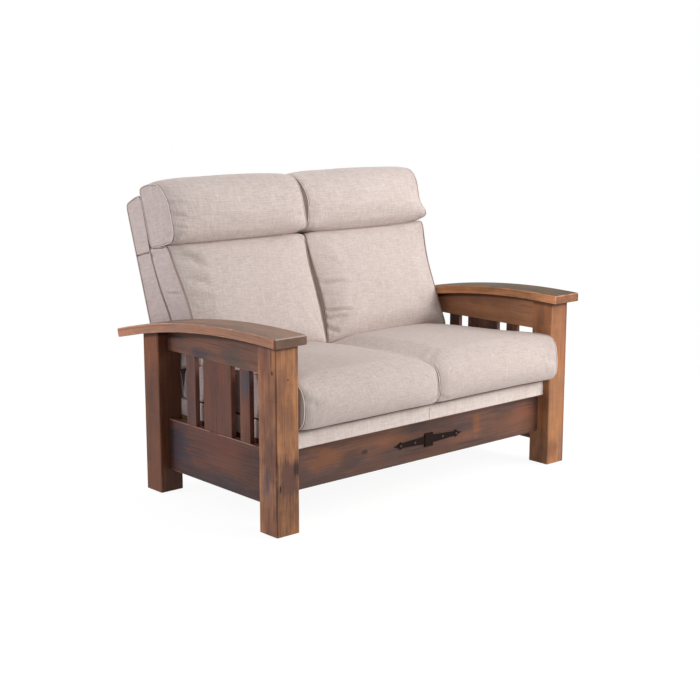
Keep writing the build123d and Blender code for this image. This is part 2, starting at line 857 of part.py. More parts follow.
headrest_end_shares = [
    (0.82, 0.03, 0.0),
    (0.06, 0.01, 0.0),
    (0.0, 0.06, 0.0),
    (0.0, 0.84, 0.0),
    (0.10, 0.93, 0.020),
    (0.60, 0.89, 0.020),
    (0.74, 0.72, 0.055),
]


def sized(shares, depth, height):
    """Outline rows in millimetres: bulges follow the depth."""
    return [(a * depth, b * height, bulge * depth) for a, b, bulge in shares]


def make_seat_cushion():
    """Loose seat cushion with a crowned top, a rolled front and drawn-in sides."""
    x0 = cushion_split_gap / 2
    x1 = post_inner - cushion_side_gap
    base = deck_top + cushion_gap
    shares = (seat_middle_shares, seat_end_shares)
    rows = [sized(s, seat_cushion_depth, seat_cushion_height) for s in shares]
    cushion = cushion_loft(x0, x1, *rows, lambda back, up: (seat_cushion_front + back, base + up))
    height = seat_cushion_height * seat_scoop_share
    middle = (seat_cushion_front + seat_cushion_depth / 2, base + height / 2)
    return scooped(cushion, x0, x1, middle, (0, 1, 0), height, seat_cushion_depth)


def leaning_cushion(foot, depth, height, shares):
    """Cushion that lies on the front of a back cover."""
    x0 = cushion_split_gap / 2
    rear = back_depth + cushion_gap
    rows = [sized(s, depth, height) for s in shares]
    return cushion_loft(x0, back_outer, *rows, lambda ahead, up: back_point(rear + ahead, foot + up))


def make_back_cushion():
    """Lower back cushion, fullest near its foot, with drawn-in sides."""
    depth, height, foot = back_cushion_depth, back_cushion_height, back_cushion_foot
    cushion = leaning_cushion(foot, depth, height, (back_middle_shares, back_end_shares))
    x0 = cushion_split_gap / 2
    middle = back_point(back_depth + cushion_gap + depth / 2, foot + height / 2)
    return scooped(cushion, x0, back_outer, middle, (0, lean_cos, -lean_sin), height, depth)


def make_headrest():
    """Headrest pillow over the lower back cushion, narrower at its ends."""
    shares = (headrest_middle_shares, headrest_end_shares)
    return leaning_cushion(headrest_foot, headrest_depth, headrest_height, shares)


def mirrored(shape):
    """The same piece for the other side of the settle."""
    return mirror(shape, about=Plane.YZ)


def both_sides(solids):
    """One group of the solids and their mirror images."""
    return Compound(children=list(solids) + [mirrored(solid) for solid in solids])


def paired_pieces():
    """Pieces of the right side, by the name that follows left or right."""
    rear_tenons = [lower_tenons[1], upper_tenons[1], rear_rail_tenon]
    front_tenons = [lower_tenons[0], upper_tenons[0], front_rail_tenon]
    pieces = {
        "front_post": make_post(0, front_tenons, []),
        "rear_post": make_post(rear_post_y, rear_tenons, post_screws()),
        "arm": make_arm(),
        "upper_rail": make_upper_rail(),
        "lower_rail": make_lower_rail(),
        "seat_front_rail": make_seat_cross_rail(front=True),
        "seat_rear_rail": make_seat_cross_rail(front=False),
        "seat_side_rails": make_seat_side_rails(),
        "seat_springs": make_springs(),
        "spring_clips": make_spring_clips(),
        "deck_pad": make_deck_pad(),
        "deck_cover": make_deck_cover(),
        "dust_cloth": make_dust_cloth(),
        "seat_cushion": make_seat_cushion(),
        "back_boards": make_back_boards(),
        "back_rails": make_back_rails(),
        "back_webbing": make_webbing(),
        "back_cover": make_back_cover(),
        "back_cushion": make_back_cushion(),
        "headrest": make_headrest(),
    }
    for name, (y0, y1) in slat_limits().items():
        pieces[name] = make_slat(y0, y1)
    return pieces


def single_pieces():
    """Pieces that cross the middle of the settle, and fasteners grouped by kind."""
    cleat_screw = (cleat_screw_radius, cleat_screw_head_radius, cleat_screw_head_height)
    back_bolt = (back_bolt_radius, back_bolt_head_radius, back_bolt_head_height)
    return {
        "front_rail": make_front_rail(),
        "rear_rail": make_rear_rail(),
        "front_cleat": make_cleat(front_rail_rear, front_cleat_rear),
        "rear_cleat": make_cleat(rear_cleat_front, rear_rail_front),
        "centre_stretcher": make_stretcher(),
        "strap_plate": make_strap(),
        "strap_screws": make_strap_screws(),
        "post_glides": make_glides(),
        "arm_dowels": both_sides([dowel(x, y) for x, y in dowel_places()]),
        "cleat_screws": make_screws(cleat_screws(), *cleat_screw),
        "seat_screws": make_screws(seat_screws(), *cleat_screw),
        "back_bolts": make_screws(back_bolts(), *back_bolt),
        "back_screws": both_sides(make_screws(post_screws(), *cleat_screw).solids()),
        "back_spacers": both_sides([make_spacer()]),
    }


def main():
    os.makedirs("parts", exist_ok=True)
    pieces = single_pieces()
    for name, shape in paired_pieces().items():
        pieces["right_" + name] = shape
        pieces["left_" + name] = mirrored(shape)
    outermost = ("right_arm", "right_seat_cushion", "right_back_cover", "right_headrest")
    reaching = [pieces[name].bounding_box() for name in outermost]
    origin_y = (min(box.min.Y for box in reaching) + max(box.max.Y for box in reaching)) / 2
    print("origin lies", round(origin_y, 3), "behind the front posts' faces")
    for name, shape in pieces.items():
        export_step(Pos(0, -origin_y, 0) * shape, "parts/" + name + ".step")


main()
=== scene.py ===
import math

import bmesh
import bpy
import numpy as np
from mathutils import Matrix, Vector


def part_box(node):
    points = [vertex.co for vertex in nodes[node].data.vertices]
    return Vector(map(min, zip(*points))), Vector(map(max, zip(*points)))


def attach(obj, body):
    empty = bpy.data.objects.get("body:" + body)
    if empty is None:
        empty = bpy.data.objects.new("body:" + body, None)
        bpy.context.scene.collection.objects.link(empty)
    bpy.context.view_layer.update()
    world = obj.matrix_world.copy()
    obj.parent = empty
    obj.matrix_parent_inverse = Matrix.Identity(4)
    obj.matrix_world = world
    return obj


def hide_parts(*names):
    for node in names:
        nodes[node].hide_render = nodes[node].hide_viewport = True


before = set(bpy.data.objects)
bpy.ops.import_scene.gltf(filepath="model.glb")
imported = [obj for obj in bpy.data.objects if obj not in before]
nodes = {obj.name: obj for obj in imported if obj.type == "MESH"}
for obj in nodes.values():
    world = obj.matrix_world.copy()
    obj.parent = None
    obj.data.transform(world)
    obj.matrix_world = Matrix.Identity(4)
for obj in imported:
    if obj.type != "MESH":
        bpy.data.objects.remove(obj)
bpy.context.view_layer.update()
scene = bpy.context.scene

# The settle's own measures: Y of the front posts' faces, the lean of the backs and the bow of the arms
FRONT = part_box("right_front_post")[0].y
LEAN = math.radians(18.1)
BACK_FOOT_Y = FRONT + 0.7403
SEAT_LEVEL = 0.260
ARM_RADIUS = 3.05
ARM_PEAK_Y = FRONT + 0.125
ARM_AXIS_Z = 0.638 - ARM_RADIUS
ARM_THICKNESS = 0.0305

SIDES = {"right": 1, "left": -1}
AHEAD = np.array([0, -math.cos(LEAN), math.sin(LEAN)])
SIDEWAYS = np.array([1.0, 0, 0])
FORWARD = np.array([0, -1.0, 0])


def seat_place(points):
    """Points in millimetres behind the front posts' faces and over the floor, as metres in Y and Z."""
    return np.asarray(points, float) / 1000 + np.array([FRONT, 0.0])


def back_place(points):
    """Points in millimetres ahead of the back's rear face and up along its lean, as metres in Y and Z."""
    p = np.asarray(points, float) / 1000
    ahead, up = p[..., 0], p[..., 1]
    y = BACK_FOOT_Y - ahead * math.cos(LEAN) + up * math.sin(LEAN)
    z = SEAT_LEVEL + ahead * math.sin(LEAN) + up * math.cos(LEAN)
    return np.stack([y, z], -1)


def point(place, x, a, b):
    """Point in metres from X and one of the two places above, in millimetres."""
    return np.concatenate([[x / 1000], place((a, b))])


def unit(vectors):
    return vectors / np.maximum(np.linalg.norm(vectors, axis=-1, keepdims=True), 1e-9)


def run_along(path):
    """Length of a path up to each of its points."""
    return np.concatenate([[0], np.cumsum(np.linalg.norm(np.diff(path, axis=0), axis=1))])


# ---------------------------------------------------------------- soft boxes of quads

FINE = 12  # steps of a smooth curve between two given points
ROLL_POWER = 40
STATION_EASE = 0.4


def smooth_loops(points, corners, counts):
    """Closed smooth curves through rows of points, sampled from corner to corner.

    points is stations x points x 2. Between two neighbouring points the curve is the cubic whose slopes at
    its ends are half the chord between the points on either side. Each side, from one corner to the next, is
    cut into its count of steps, of equal length on the mean of all the stations' curves.
    """
    before, after = np.roll(points, 1, 1), np.roll(points, -1, 1)
    slope = (after - before) / 2
    t = np.linspace(0, 1, FINE, endpoint=False)[None, None, :, None]
    p0, p1 = points[:, :, None], after[:, :, None]
    m0, m1 = slope[:, :, None], np.roll(slope, -1, 1)[:, :, None]
    cubic = (
        (2 * t**3 - 3 * t**2 + 1) * p0 + (t**3 - 2 * t**2 + t) * m0
        + (3 * t**2 - 2 * t**3) * p1 + (t**3 - t**2) * m1
    )
    dense = cubic.reshape(len(points), -1, 2)
    dense = np.concatenate([dense, dense[:, :1]], 1)
    run = run_along(dense.mean(0))
    marks = [run[FINE * c] for c in corners] + [run[-1] + run[FINE * corners[0]]]
    places = np.concatenate([
        np.linspace(start, end, count, endpoint=False) for start, end, count in zip(marks, marks[1:], counts)
    ])
    index = np.interp(places % run[-1], run, np.arange(len(run)))
    low = np.minimum(index.astype(int), len(run) - 2)
    part = (index - low)[None, :, None]
    return dense[:, low] * (1 - part) + dense[:, low + 1] * part


def coons(loop, na, nb):
    """Grid inside a loop of four sides, where each point is the mean of the two ways across."""
    bottom = loop[: na + 1]
    right = loop[na: na + nb + 1]
    top = loop[na + nb: 2 * na + nb + 1][::-1]
    left = np.concatenate([loop[2 * na + nb:], loop[:1]])[::-1]
    s = np.linspace(0, 1, na + 1)[:, None, None]
    t = np.linspace(0, 1, nb + 1)[None, :, None]
    across = (1 - s) * left[None] + s * right[None]
    along = (1 - t) * bottom[:, None] + t * top[:, None]
    corners = (
        (1 - s) * (1 - t) * bottom[0] + s * (1 - t) * bottom[-1] + (1 - s) * t * top[0] + s * t * top[-1]
    )
    return across + along - corners


def squares(grid):
    """The four corners of every cell of a grid of values, cell by cell."""
    cells = np.stack([grid[:-1, :-1], grid[1:, :-1], grid[1:, 1:], grid[:-1, 1:]], 2)
    return cells.reshape(-1, 4, *grid.shape[2:])


def turn_outwards(mesh):
    """Turns every face outwards."""
    b = bmesh.new()
    b.from_mesh(mesh)
    bmesh.ops.recalc_face_normals(b, faces=b.faces)
    b.to_mesh(mesh)
    b.free()


def cloth_mesh(name, verts, quads, uvs):
    """Object of quads with cloth coordinates in metres, its faces turned outwards."""
    mesh = bpy.data.meshes.new(name)
    mesh.from_pydata(np.asarray(verts, float).tolist(), [], np.asarray(quads).tolist())
    layer = mesh.uv_layers.new(name="cloth")
    layer.data.foreach_set("uv", np.asarray(uvs, np.float32).ravel())
    mesh.polygons.foreach_set("use_smooth", np.ones(len(mesh.polygons), bool))
    mesh.update()
    turn_outwards(mesh)
    piece = bpy.data.objects.new(name, mesh)
    scene.collection.objects.link(piece)
    return piece


def blend(u, inner, middle, outer):
    """Outlines at u from those of the inner end, the middle and the outer end, where u is -1, 0 and 1.

    The share of the end's form is 0.35 u^2 + 0.65 |u|^10: a gentle crown and a quick turn near the end.
    """
    end = np.where(u[:, None, None] > 0, np.array(outer, float), np.array(inner, float))
    share = (0.35 * u * u + (1 - 0.35) * np.abs(u) ** 10)[:, None, None]
    return (1 - share) * np.array(middle, float) + share * end


def soft_box(name, limits, counts, corners, outlines, place, draw_in, shift, roll, bare_foot):
    """Closed box of quads whose four long sides follow a loop that changes along X.

    At each station u, from -1 at the inner end to 1 at the outer one, the loop is the blend of the outlines.
    Both ends are filled with a grid that is drawn in at its middle by draw_in times (1 - s^4)(1 - t^2).
    shift(u, points) moves points along X. roll is (size, side): towards the ends the loops shrink by size
    |u|^40 millimetres, except on the numbered side, which rests on something. The stations stand closer
    together there. Cloth coordinates are X and the run round the loop on the long sides, and the outline's own
    plane on the ends.
    """
    nx, na, nb = counts
    sides = (na, nb, na, nb)
    even = np.linspace(-1, 1, nx + 1)
    us = (1 - STATION_EASE) * even + STATION_EASE * np.sin(even * math.pi / 2)
    loops = smooth_loops(blend(us, *outlines), corners, sides)
    count = loops.shape[1]
    tangent = np.roll(loops, -1, 1) - np.roll(loops, 1, 1)
    inwards = unit(np.stack([-tangent[..., 1], tangent[..., 0]], 2))
    inwards *= np.sign((inwards * (loops.mean(1, keepdims=True) - loops)).sum(2).mean())
    free = (np.repeat(range(4), sides) != roll[1]).astype(float)
    free = np.mean([np.roll(free, step) for step in range(-3, 4)], axis=0)
    loops = loops + roll[0] * (np.abs(us) ** ROLL_POWER)[:, None, None] * free[None, :, None] * inwards
    xs = limits[0] + (us + 1) / 2 * (limits[1] - limits[0])
    grid = np.zeros((nx + 1, count, 3))
    grid[:, :, 0] = xs[:, None] + (shift(us[:, None], loops) if shift else 0)
    grid[:, :, 1:] = place(loops)
    step = np.linalg.norm(np.diff(np.concatenate([loops, loops[:, :1]], 1), axis=1), axis=2) / 1000
    run = np.concatenate([np.zeros((nx + 1, 1)), np.cumsum(step, 1)], 1)
    number = np.arange((nx + 1) * count).reshape(nx + 1, count)
    quads = squares(np.concatenate([number, number[:, :1]], 1))
    uvs = squares(np.stack([np.broadcast_to(xs[:, None], run.shape), run], 2))
    if bare_foot:
        kept = np.tile(np.repeat([False, True, True, True], sides), nx)
        quads, uvs = quads[kept], uvs[kept]
    verts = [grid.reshape(-1, 3)]
    s, t = np.linspace(-1, 1, na + 1)[1:-1, None], np.linspace(-1, 1, nb + 1)[None, 1:-1]
    for end, way in ((0, 1), (nx, -1)):
        inner = coons(grid[end], na, nb)[1:-1, 1:-1]
        inner[..., 0] += way * draw_in * (1 - s**4) * (1 - t**2)
        index = np.zeros((na + 1, nb + 1), int)
        index[1:-1, 1:-1] = sum(map(len, verts)) + np.arange(inner[..., 0].size).reshape(inner.shape[:2])
        index[:, 0] = np.arange(na + 1)
        index[-1, :] = na + np.arange(nb + 1)
        index[:, -1] = 2 * na + nb - np.arange(na + 1)
        index[0, :] = (2 * na + 2 * nb - np.arange(nb + 1)) % count
        rim = np.ones(index.shape, bool)
        rim[1:-1, 1:-1] = False
        index[rim] += end * count
        verts.append(inner.reshape(-1, 3))
        quads = np.concatenate([quads, squares(index)])
        uvs = np.concatenate([uvs, squares(coons(loops[end], na, nb) / 1000 + 2.0)])
    piece = cloth_mesh(name, np.concatenate(verts), quads, uvs)
    return piece, [np.arange(count), nx * count + np.arange(count)]


def coordinates(mesh):
    co = np.zeros(len(mesh.vertices) * 3)
    mesh.vertices.foreach_get("co", co)
    return co.reshape(-1, 3)


def set_coordinates(mesh, co):
    mesh.vertices.foreach_set("co", np.asarray(co, float).ravel())
    mesh.update()


SOLVER_FRAMES = 20
CLOTH = {
    "quality": 4, "mass": 0.3, "tension_stiffness": 12, "compression_stiffness": 12, "shear_stiffness": 4,
    "bending_stiffness": 0.6, "tension_damping": 8, "compression_damping": 8, "air_damping": 3,
    "vertex_group_mass": "seam", "use_pressure": True, "uniform_pressure_force": 4.0,
}


def inflate(piece, seams, cap):
    """Swells a closed piece with the cloth solver, its seams held. No vertex moves further than the cap."""
    mesh = piece.data
    start = coordinates(mesh)
    held = piece.vertex_groups.new(name="seam")
    held.add(np.concatenate(seams).tolist(), 1.0, "REPLACE")
    cloth = piece.modifiers.new("cloth", "CLOTH")
    for key, value in CLOTH.items():
        setattr(cloth.settings, key, value)
    cloth.settings.effector_weights.gravity = 0
    cloth.collision_settings.use_collision = False
    cloth.collision_settings.use_self_collision = False
    cloth.point_cache.frame_start = 1
    cloth.point_cache.frame_end = SOLVER_FRAMES
    for number in range(SOLVER_FRAMES):
        scene.frame_set(number + 1)
    shape = piece.evaluated_get(bpy.context.evaluated_depsgraph_get())
    move = coordinates(shape.data) - start
    piece.modifiers.remove(cloth)
    piece.vertex_groups.remove(held)
    scene.frame_set(1)
    size = np.linalg.norm(move, axis=1, keepdims=True)
    set_coordinates(mesh, start + move * np.minimum(1, cap / np.maximum(size, 1e-9)))


def refine(piece, seams, hard):
    """Divides every quad into four on a smooth surface whose seams stay sharp, and keeps the result."""
    mesh = piece.data
    on_seam = np.zeros(len(mesh.vertices), int)
    for label, seam in enumerate(seams):
        on_seam[seam] = label + 1
    ends = np.zeros(len(mesh.edges) * 2, int)
    mesh.edges.foreach_get("vertices", ends)
    first, second = on_seam[ends.reshape(-1, 2)].T
    values = hard * ((first > 0) & (first == second))
    mesh.attributes.new("crease_edge", "FLOAT", "EDGE").data.foreach_set("value", values.astype(np.float32))
    divide = piece.modifiers.new("refine", "SUBSURF")
    divide.levels = divide.render_levels = 1
    divide.uv_smooth = "PRESERVE_BOUNDARIES"
    depsgraph = bpy.context.evaluated_depsgraph_get()
    made = bpy.data.meshes.new_from_object(
        piece.evaluated_get(depsgraph), preserve_all_data_layers=True, depsgraph=depsgraph
    )
    piece.modifiers.clear()
    piece.data = made
    bpy.data.meshes.remove(mesh)
    made.name = piece.name
    made.attributes.remove(made.attributes["crease_edge"])


FAR_FROM_SEAM = 0.05


def seam_gaps(piece, seams, lines):
    """Gives every vertex its distance from the nearest seam or sewn line, in metres, at most 5 cm."""
    co = coordinates(piece.data)
    t = np.linspace(0, 1, 4, endpoint=False)[:, None, None]
    paths = [co[seam] for seam in seams]
    dense = [(path + t * (np.roll(path, -1, 0) - path)).reshape(-1, 3) for path in paths]
    dense += [start + np.linspace(0, 1, 60)[:, None] * (end - start) for start, end in lines]
    gap = np.full(len(co), FAR_FROM_SEAM)
    for line in dense:
        close = ((co > line.min(0) - 0.02) & (co < line.max(0) + 0.02)).all(1)
        far = np.linalg.norm(co[close][:, None] - line[None], axis=2).min(1)
        gap[close] = np.minimum(gap[close], far)
    made = piece.data.attributes.new("seam_gap", "FLOAT", "POINT")
    made.data.foreach_set("value", gap.astype(np.float32))
    return gap


FOLD_DEPTH = 2.2  # how much deeper than its row says every fold is


def fold(co, start, end, normal, width, depth):
    """Crease along a line on a panel that faces along normal, its width and depth in millimetres.

    Across the line the cloth follows -exp(-s^2) with a low ridge beside it, where s is the distance in widths.
    Towards both ends of the line the crease fades as exp(-d^2).
    """
    along = end - start
    length = np.linalg.norm(along)
    along = along / length
    away = co - start
    t = away @ along / length
    s = away @ np.cross(normal, along) / (width / 1000)
    past = np.maximum(np.abs(t - 0.5) * 2 - 0.45, 0) / 0.5
    near = np.exp(-((away @ normal) / 0.05) ** 2)
    wave = -np.exp(-(s**2)) + 0.6 * np.exp(-(((s - 1.8) / 1.2) ** 2))
    return co + (FOLD_DEPTH * depth / 1000 * near * np.exp(-(past**2) * 2) * wave)[:, None] * normal


WELT_SIDES = 8
WELT_LIFT = 0.35  # share of its radius by which piping stands over its seam


def seam_welt(name, piece, seam, way, radius):
    """Piping along one end seam of a soft box: at each point of the eased seam a circle square to it.

    The circle's middle is lifted between the end and the long sides.
    """
    path = coordinates(piece.data)[seam]
    outwards = (path - path.mean(0)) * [0, 1, 1]
    normal = unit(np.cross(np.roll(path, -1, 0) - np.roll(path, 1, 0), SIDEWAYS))
    normal *= np.sign((normal * outwards).sum(1, keepdims=True))
    normal = normal + way * SIDEWAYS
    for _ in range(2):
        path = (path + (np.roll(path, 1, 0) + np.roll(path, -1, 0)) / 2) / 2
    tangent = unit(np.roll(path, -1, 0) - np.roll(path, 1, 0))
    out = unit(normal - (normal * tangent).sum(1, keepdims=True) * tangent)
    turn = np.linspace(0, 2 * math.pi, WELT_SIDES + 1)[None, :, None]
    ring = (path + out * radius * WELT_LIFT)[:, None] + radius * (
        np.cos(turn) * out[:, None] + np.sin(turn) * np.cross(tangent, out)[:, None]
    )
    number = np.arange(len(path) * WELT_SIDES).reshape(len(path), WELT_SIDES)
    number = np.concatenate([number, number[:, :1]], 1)
    number = np.concatenate([number, number[:1]])
    run = run_along(np.concatenate([path, path[:1]]))
    around = radius * 0.8 * np.arange(WELT_SIDES + 1)
    uvs = squares(np.stack(np.broadcast_arrays(run[:, None], around[None]), 2))
    return cloth_mesh(name, ring[:, :-1].reshape(-1, 3), squares(number), uvs)


# ---------------------------------------------------------------- outlines of the soft pieces, in millimetres

SEAT_CORNERS = (0, 4, 7, 14)
SEAT_MIDDLE = [
    (4, 324), (150, 322), (330, 322), (480, 322), (628, 324), (641, 352), (643, 396), (632, 436),
    (580, 463), (470, 478), (330, 486), (190, 489), (96, 489), (42, 484), (6, 471),
    (-20, 447), (-32, 411), (-35, 374), (-29, 344), (-14, 327),
]
SEAT_SOLE = [(150, 322), (330, 322), (480, 322), (616, 325), (630, 350), (632, 388)]
SEAT_INNER = [
    (12, 325), *SEAT_SOLE, (620, 424),
    (570, 448), (465, 461), (330, 468), (190, 472), (96, 471), (44, 467), (12, 458),
    (-10, 440), (-21, 408), (-24, 374), (-20, 347), (-6, 330),
]
SEAT_RIGHT = [
    (12, 324), *SEAT_SOLE, (620, 421),
    (570, 443), (465, 455), (330, 468), (190, 480), (96, 487), (44, 489), (8, 488),
    (-26, 472), (-39, 425), (-42, 380), (-38, 347), (-16, 326),
]
SEAT_LEFT = [
    (24, 325), *SEAT_SOLE, (620, 426),
    (570, 452), (465, 465), (330, 473), (190, 480), (96, 483), (48, 483), (14, 476),
    (-6, 454), (-15, 420), (-16, 380), (-13, 347), (4, 328),
]
BACK_CORNERS = (0, 3, 10, 13)
BACK_MIDDLE = [
    (106, 146), (155, 134), (212, 126), (262, 132), (284, 176), (286, 240), (281, 310), (272, 385), (260, 450),
    (250, 502), (240, 538), (190, 543), (140, 543), (95, 541), (90, 480), (90, 400), (90, 300), (92, 210),
]
BACK_INNER = [
    (108, 142), (155, 131), (205, 125), (238, 127), (247, 178), (252, 236), (252, 283), (249, 338), (243, 390),
    (239, 452), (236, 529), (190, 539), (140, 541), (95, 537), (91, 480), (90, 400), (90, 300), (92, 210),
]
BACK_FOOT = [(130, 132), (168, 123), (214, 118), (259, 117), (268, 152)]
BACK_REAR = [(92, 478), (104, 405), (127, 308), (131, 220)]
BACK_LEFT = [
    *BACK_FOOT, (264, 208), (257, 270), (250, 331), (237, 390), (217, 462), (199, 540), (168, 548),
    (128, 556), (90, 556), *BACK_REAR,
]
BACK_RIGHT = [
    *BACK_FOOT, (267, 208), (264, 270), (259, 331), (256, 390), (260, 462), (266, 538), (206, 545),
    (146, 553), (92, 553), *BACK_REAR,
]
HEAD_CORNERS = (0, 3, 9, 12)
HEAD_MIDDLE = [
    (100, 551), (165, 546), (225, 545), (270, 553), (285, 582), (289, 624), (287, 668), (276, 710),
    (253, 744), (221, 770), (180, 782), (140, 780), (108, 767), (97, 735), (94, 670), (94, 605),
]
HEAD_INNER = [
    (100, 553), (160, 547), (215, 547), (258, 555), (274, 588), (281, 622), (284, 655), (279, 690),
    (267, 720), (246, 747), (200, 765), (145, 769), (106, 760), (96, 735), (94, 670), (94, 605),
]
HEAD_LEFT = [
    (100, 561), (142, 550), (190, 546), (234, 549), (253, 582), (251, 627), (254, 672), (247, 698),
    (236, 724), (216, 753), (178, 768), (132, 774), (104, 769), (97, 750), (96, 680), (95, 612),
]
HEAD_RIGHT = [
    (100, 558), (165, 548), (238, 545), (292, 550), (301, 569), (291, 592), (281, 618), (287, 668),
    (284, 712), (258, 750), (205, 768), (150, 771), (104, 767), (96, 741), (97, 680), (95, 612),
]
COVER_CORNERS = (0, 2, 12, 16)
COVER_MIDDLE = [
    (2, 4), (44, -11), (86, -25), (86, 60), (86, 150), (86, 230), (86, 308), (86, 405), (86, 478), (86, 540),
    (86, 640), (87, 731), (84, 741), (72, 745), (44, 747), (14, 745), (2, 741), (-0.5, 729), (-1.5, 600),
    (-1.5, 400), (-1.5, 200),
]
COVER_END = [
    (2, 4), (60, -18), (112, -33), (122, 60), (127, 150), (127, 230), (123, 308), (100, 405), (89, 478),
    (85, 540), (91, 640), (92, 738), (89, 747), (76, 748), (44, 745), (12, 740), (1, 737), (-1, 729),
    (-1.5, 600), (-1, 400), (-1, 200),
]
DECK_CORNERS = (0, 6, 10, 14)
DECK_OUTLINE = [
    (27, 260.8), (96, 262), (110, 262), (330, 262), (566, 262), (580, 262), (643, 262), (646, 268),
    (646.5, 292), (645, 314), (640, 320), (630, 321), (330, 321), (60, 321), (38, 319.5), (28, 313),
    (25.5, 292), (26, 268),
]
DECK_OUTER = DECK_OUTLINE[:2] + [(110, 238), (330, 236), (566, 238)] + DECK_OUTLINE[5:]

SHIFT_POWER = 6  # the ends' shifts fade towards the middle as |u|^6


def rise(values, low, span):
    return np.clip((values - low) / span, 0, 1)


def seat_shift(u, points, bow=0.004):
    """The side seams of a seat cushion stand in a little at their middle height."""
    up = rise(points[..., 1], 322, 165)
    return -np.sign(u) * np.abs(u) ** SHIFT_POWER * np.where(u < 0, 0.004, bow) * np.sin(up * math.pi)


def left_seat_shift(u, points):
    """The outer seam of the left seat cushion stands in more, beside the post."""
    return seat_shift(u, points, 0.008)


def back_shift(u, points):
    """The inner seam stands away from its neighbour between its ends. The outer one bulges out at its foot."""
    up = rise(points[..., 1], 120, 425)
    bulge = 0.012 * np.clip(1 - up / 0.22, 0, 1) ** 1.5 - 0.002 * np.sin(up * math.pi)
    return np.abs(u) ** SHIFT_POWER * np.where(u < 0, 0.0110 * np.sin(up**0.8 * math.pi), bulge)


def head_shift(u, points):
    """The inner seams leave a gap like a lens between the headrests."""
    bow = np.sin(rise(points[..., 1], 550, 205) * math.pi)
    front = rise(points[..., 0], 120, 100)
    return np.abs(u) ** SHIFT_POWER * np.where(u < 0, 0.0115 * bow * front, -0.002 * bow)


# ---------------------------------------------------------------- materials

class Graph:
    """Short calls for building a node tree: node gives the new node, split and use its outputs, the rest one."""

    def __init__(self, tree):
        self.tree = tree
        tree.nodes.clear()

    def node(self, kind, inputs=(), **settings):
        made = self.tree.nodes.new(kind)
        for key, value in settings.items():
            setattr(made, key, value)
        for key, value in dict(inputs).items():
            if isinstance(value, bpy.types.NodeSocket):
                self.tree.links.new(value, made.inputs[key])
            else:
                made.inputs[key].default_value = value
        return made

    def math(self, operation, *values, clamp=False):
        return self.node("ShaderNodeMath", enumerate(values), operation=operation, use_clamp=clamp).outputs[0]

    def vector(self, operation, *values):
        made = self.node("ShaderNodeVectorMath", enumerate(values), operation=operation)
        return made.outputs["Value" if operation == "LENGTH" else "Vector"]

    def object_place(self):
        return self.node("ShaderNodeTexCoord").outputs["Object"]

    def split(self, vector):
        return self.node("ShaderNodeSeparateXYZ", {"Vector": vector}).outputs

    def use(self, tree, inputs):
        return self.node("ShaderNodeGroup", inputs, node_tree=tree).outputs

    def bump(self, height, distance):
        made = self.node("ShaderNodeBump", {"Height": height, "Strength": 0.5, "Distance": distance})
        return made.outputs[0]

    def total(self, start, *parts):
        """start, plus each value times its weight."""
        for value, weight in parts:
            start = self.math("MULTIPLY_ADD", value, weight, start)
        return start

    def ramp(self, value, low, high):
        """A smooth step from 0 at low to 1 at high, whichever of them is the larger."""
        flip = low > high
        return self.node("ShaderNodeMapRange", {
            "Value": value, "From Min": min(low, high), "From Max": max(low, high),
            "To Min": float(flip), "To Max": float(not flip),
        }, interpolation_type="SMOOTHSTEP", clamp=True).outputs[0]

    def mix(self, share, a, b, mode="MIX"):
        made = self.node(
            "ShaderNodeMix", {0: share, 6: a, 7: b}, data_type="RGBA", blend_type=mode, clamp_factor=True
        )
        return made.outputs[2]

    def times(self, tone, colour):
        return self.mix(1.0, tone, (*colour, 1.0), "MULTIPLY")

    def shade(self, tone, mask, share, colour):
        """The tone, and where the mask is 1 a share of its product with the colour."""
        return self.mix(self.math("MULTIPLY", mask, share), tone, self.times(tone, colour))

    def noise(self, vector, stretch, detail, rough=0.55, place=(0, 0, 0), output="Fac"):
        """Noise of scale 1 at the vector, stretched and moved."""
        at = self.node("ShaderNodeMapping", {"Vector": vector, "Scale": stretch, "Location": place})
        made = self.node("ShaderNodeTexNoise", {
            "Vector": at.outputs[0], "Scale": 1.0, "Detail": detail, "Roughness": rough,
        })
        return made.outputs[output]

    def wave(self, vector, stretch, axis):
        at = self.node("ShaderNodeMapping", {"Vector": vector, "Scale": stretch})
        made = self.node("ShaderNodeTexWave", {
            "Vector": at.outputs[0], "Scale": 1.0, "Distortion": 1.2, "Detail": 1.0,
        }, bands_direction=axis)
        return made.outputs["Fac"]


def group(name, inputs, outputs):
    """Empty shader group with its sockets, as (graph, the sockets of its input node)."""
    tree = bpy.data.node_groups.new(name, "ShaderNodeTree")
    for way, sockets in (("INPUT", inputs), ("OUTPUT", outputs)):
        for label, kind in sockets.items():
            tree.interface.new_socket(name=label, in_out=way, socket_type="NodeSocket" + kind)
    g = Graph(tree)
    return g, g.node("NodeGroupInput").outputs


def linear(hex_code):
    """Scene-linear colour of a display colour."""
    parts = [int(hex_code[i: i + 2], 16) / 255 for i in (0, 2, 4)]
    return tuple(c / 12.92 if c <= 0.04045 else ((c + 0.055) / 1.055) ** 2.4 for c in parts) + (1.0,)


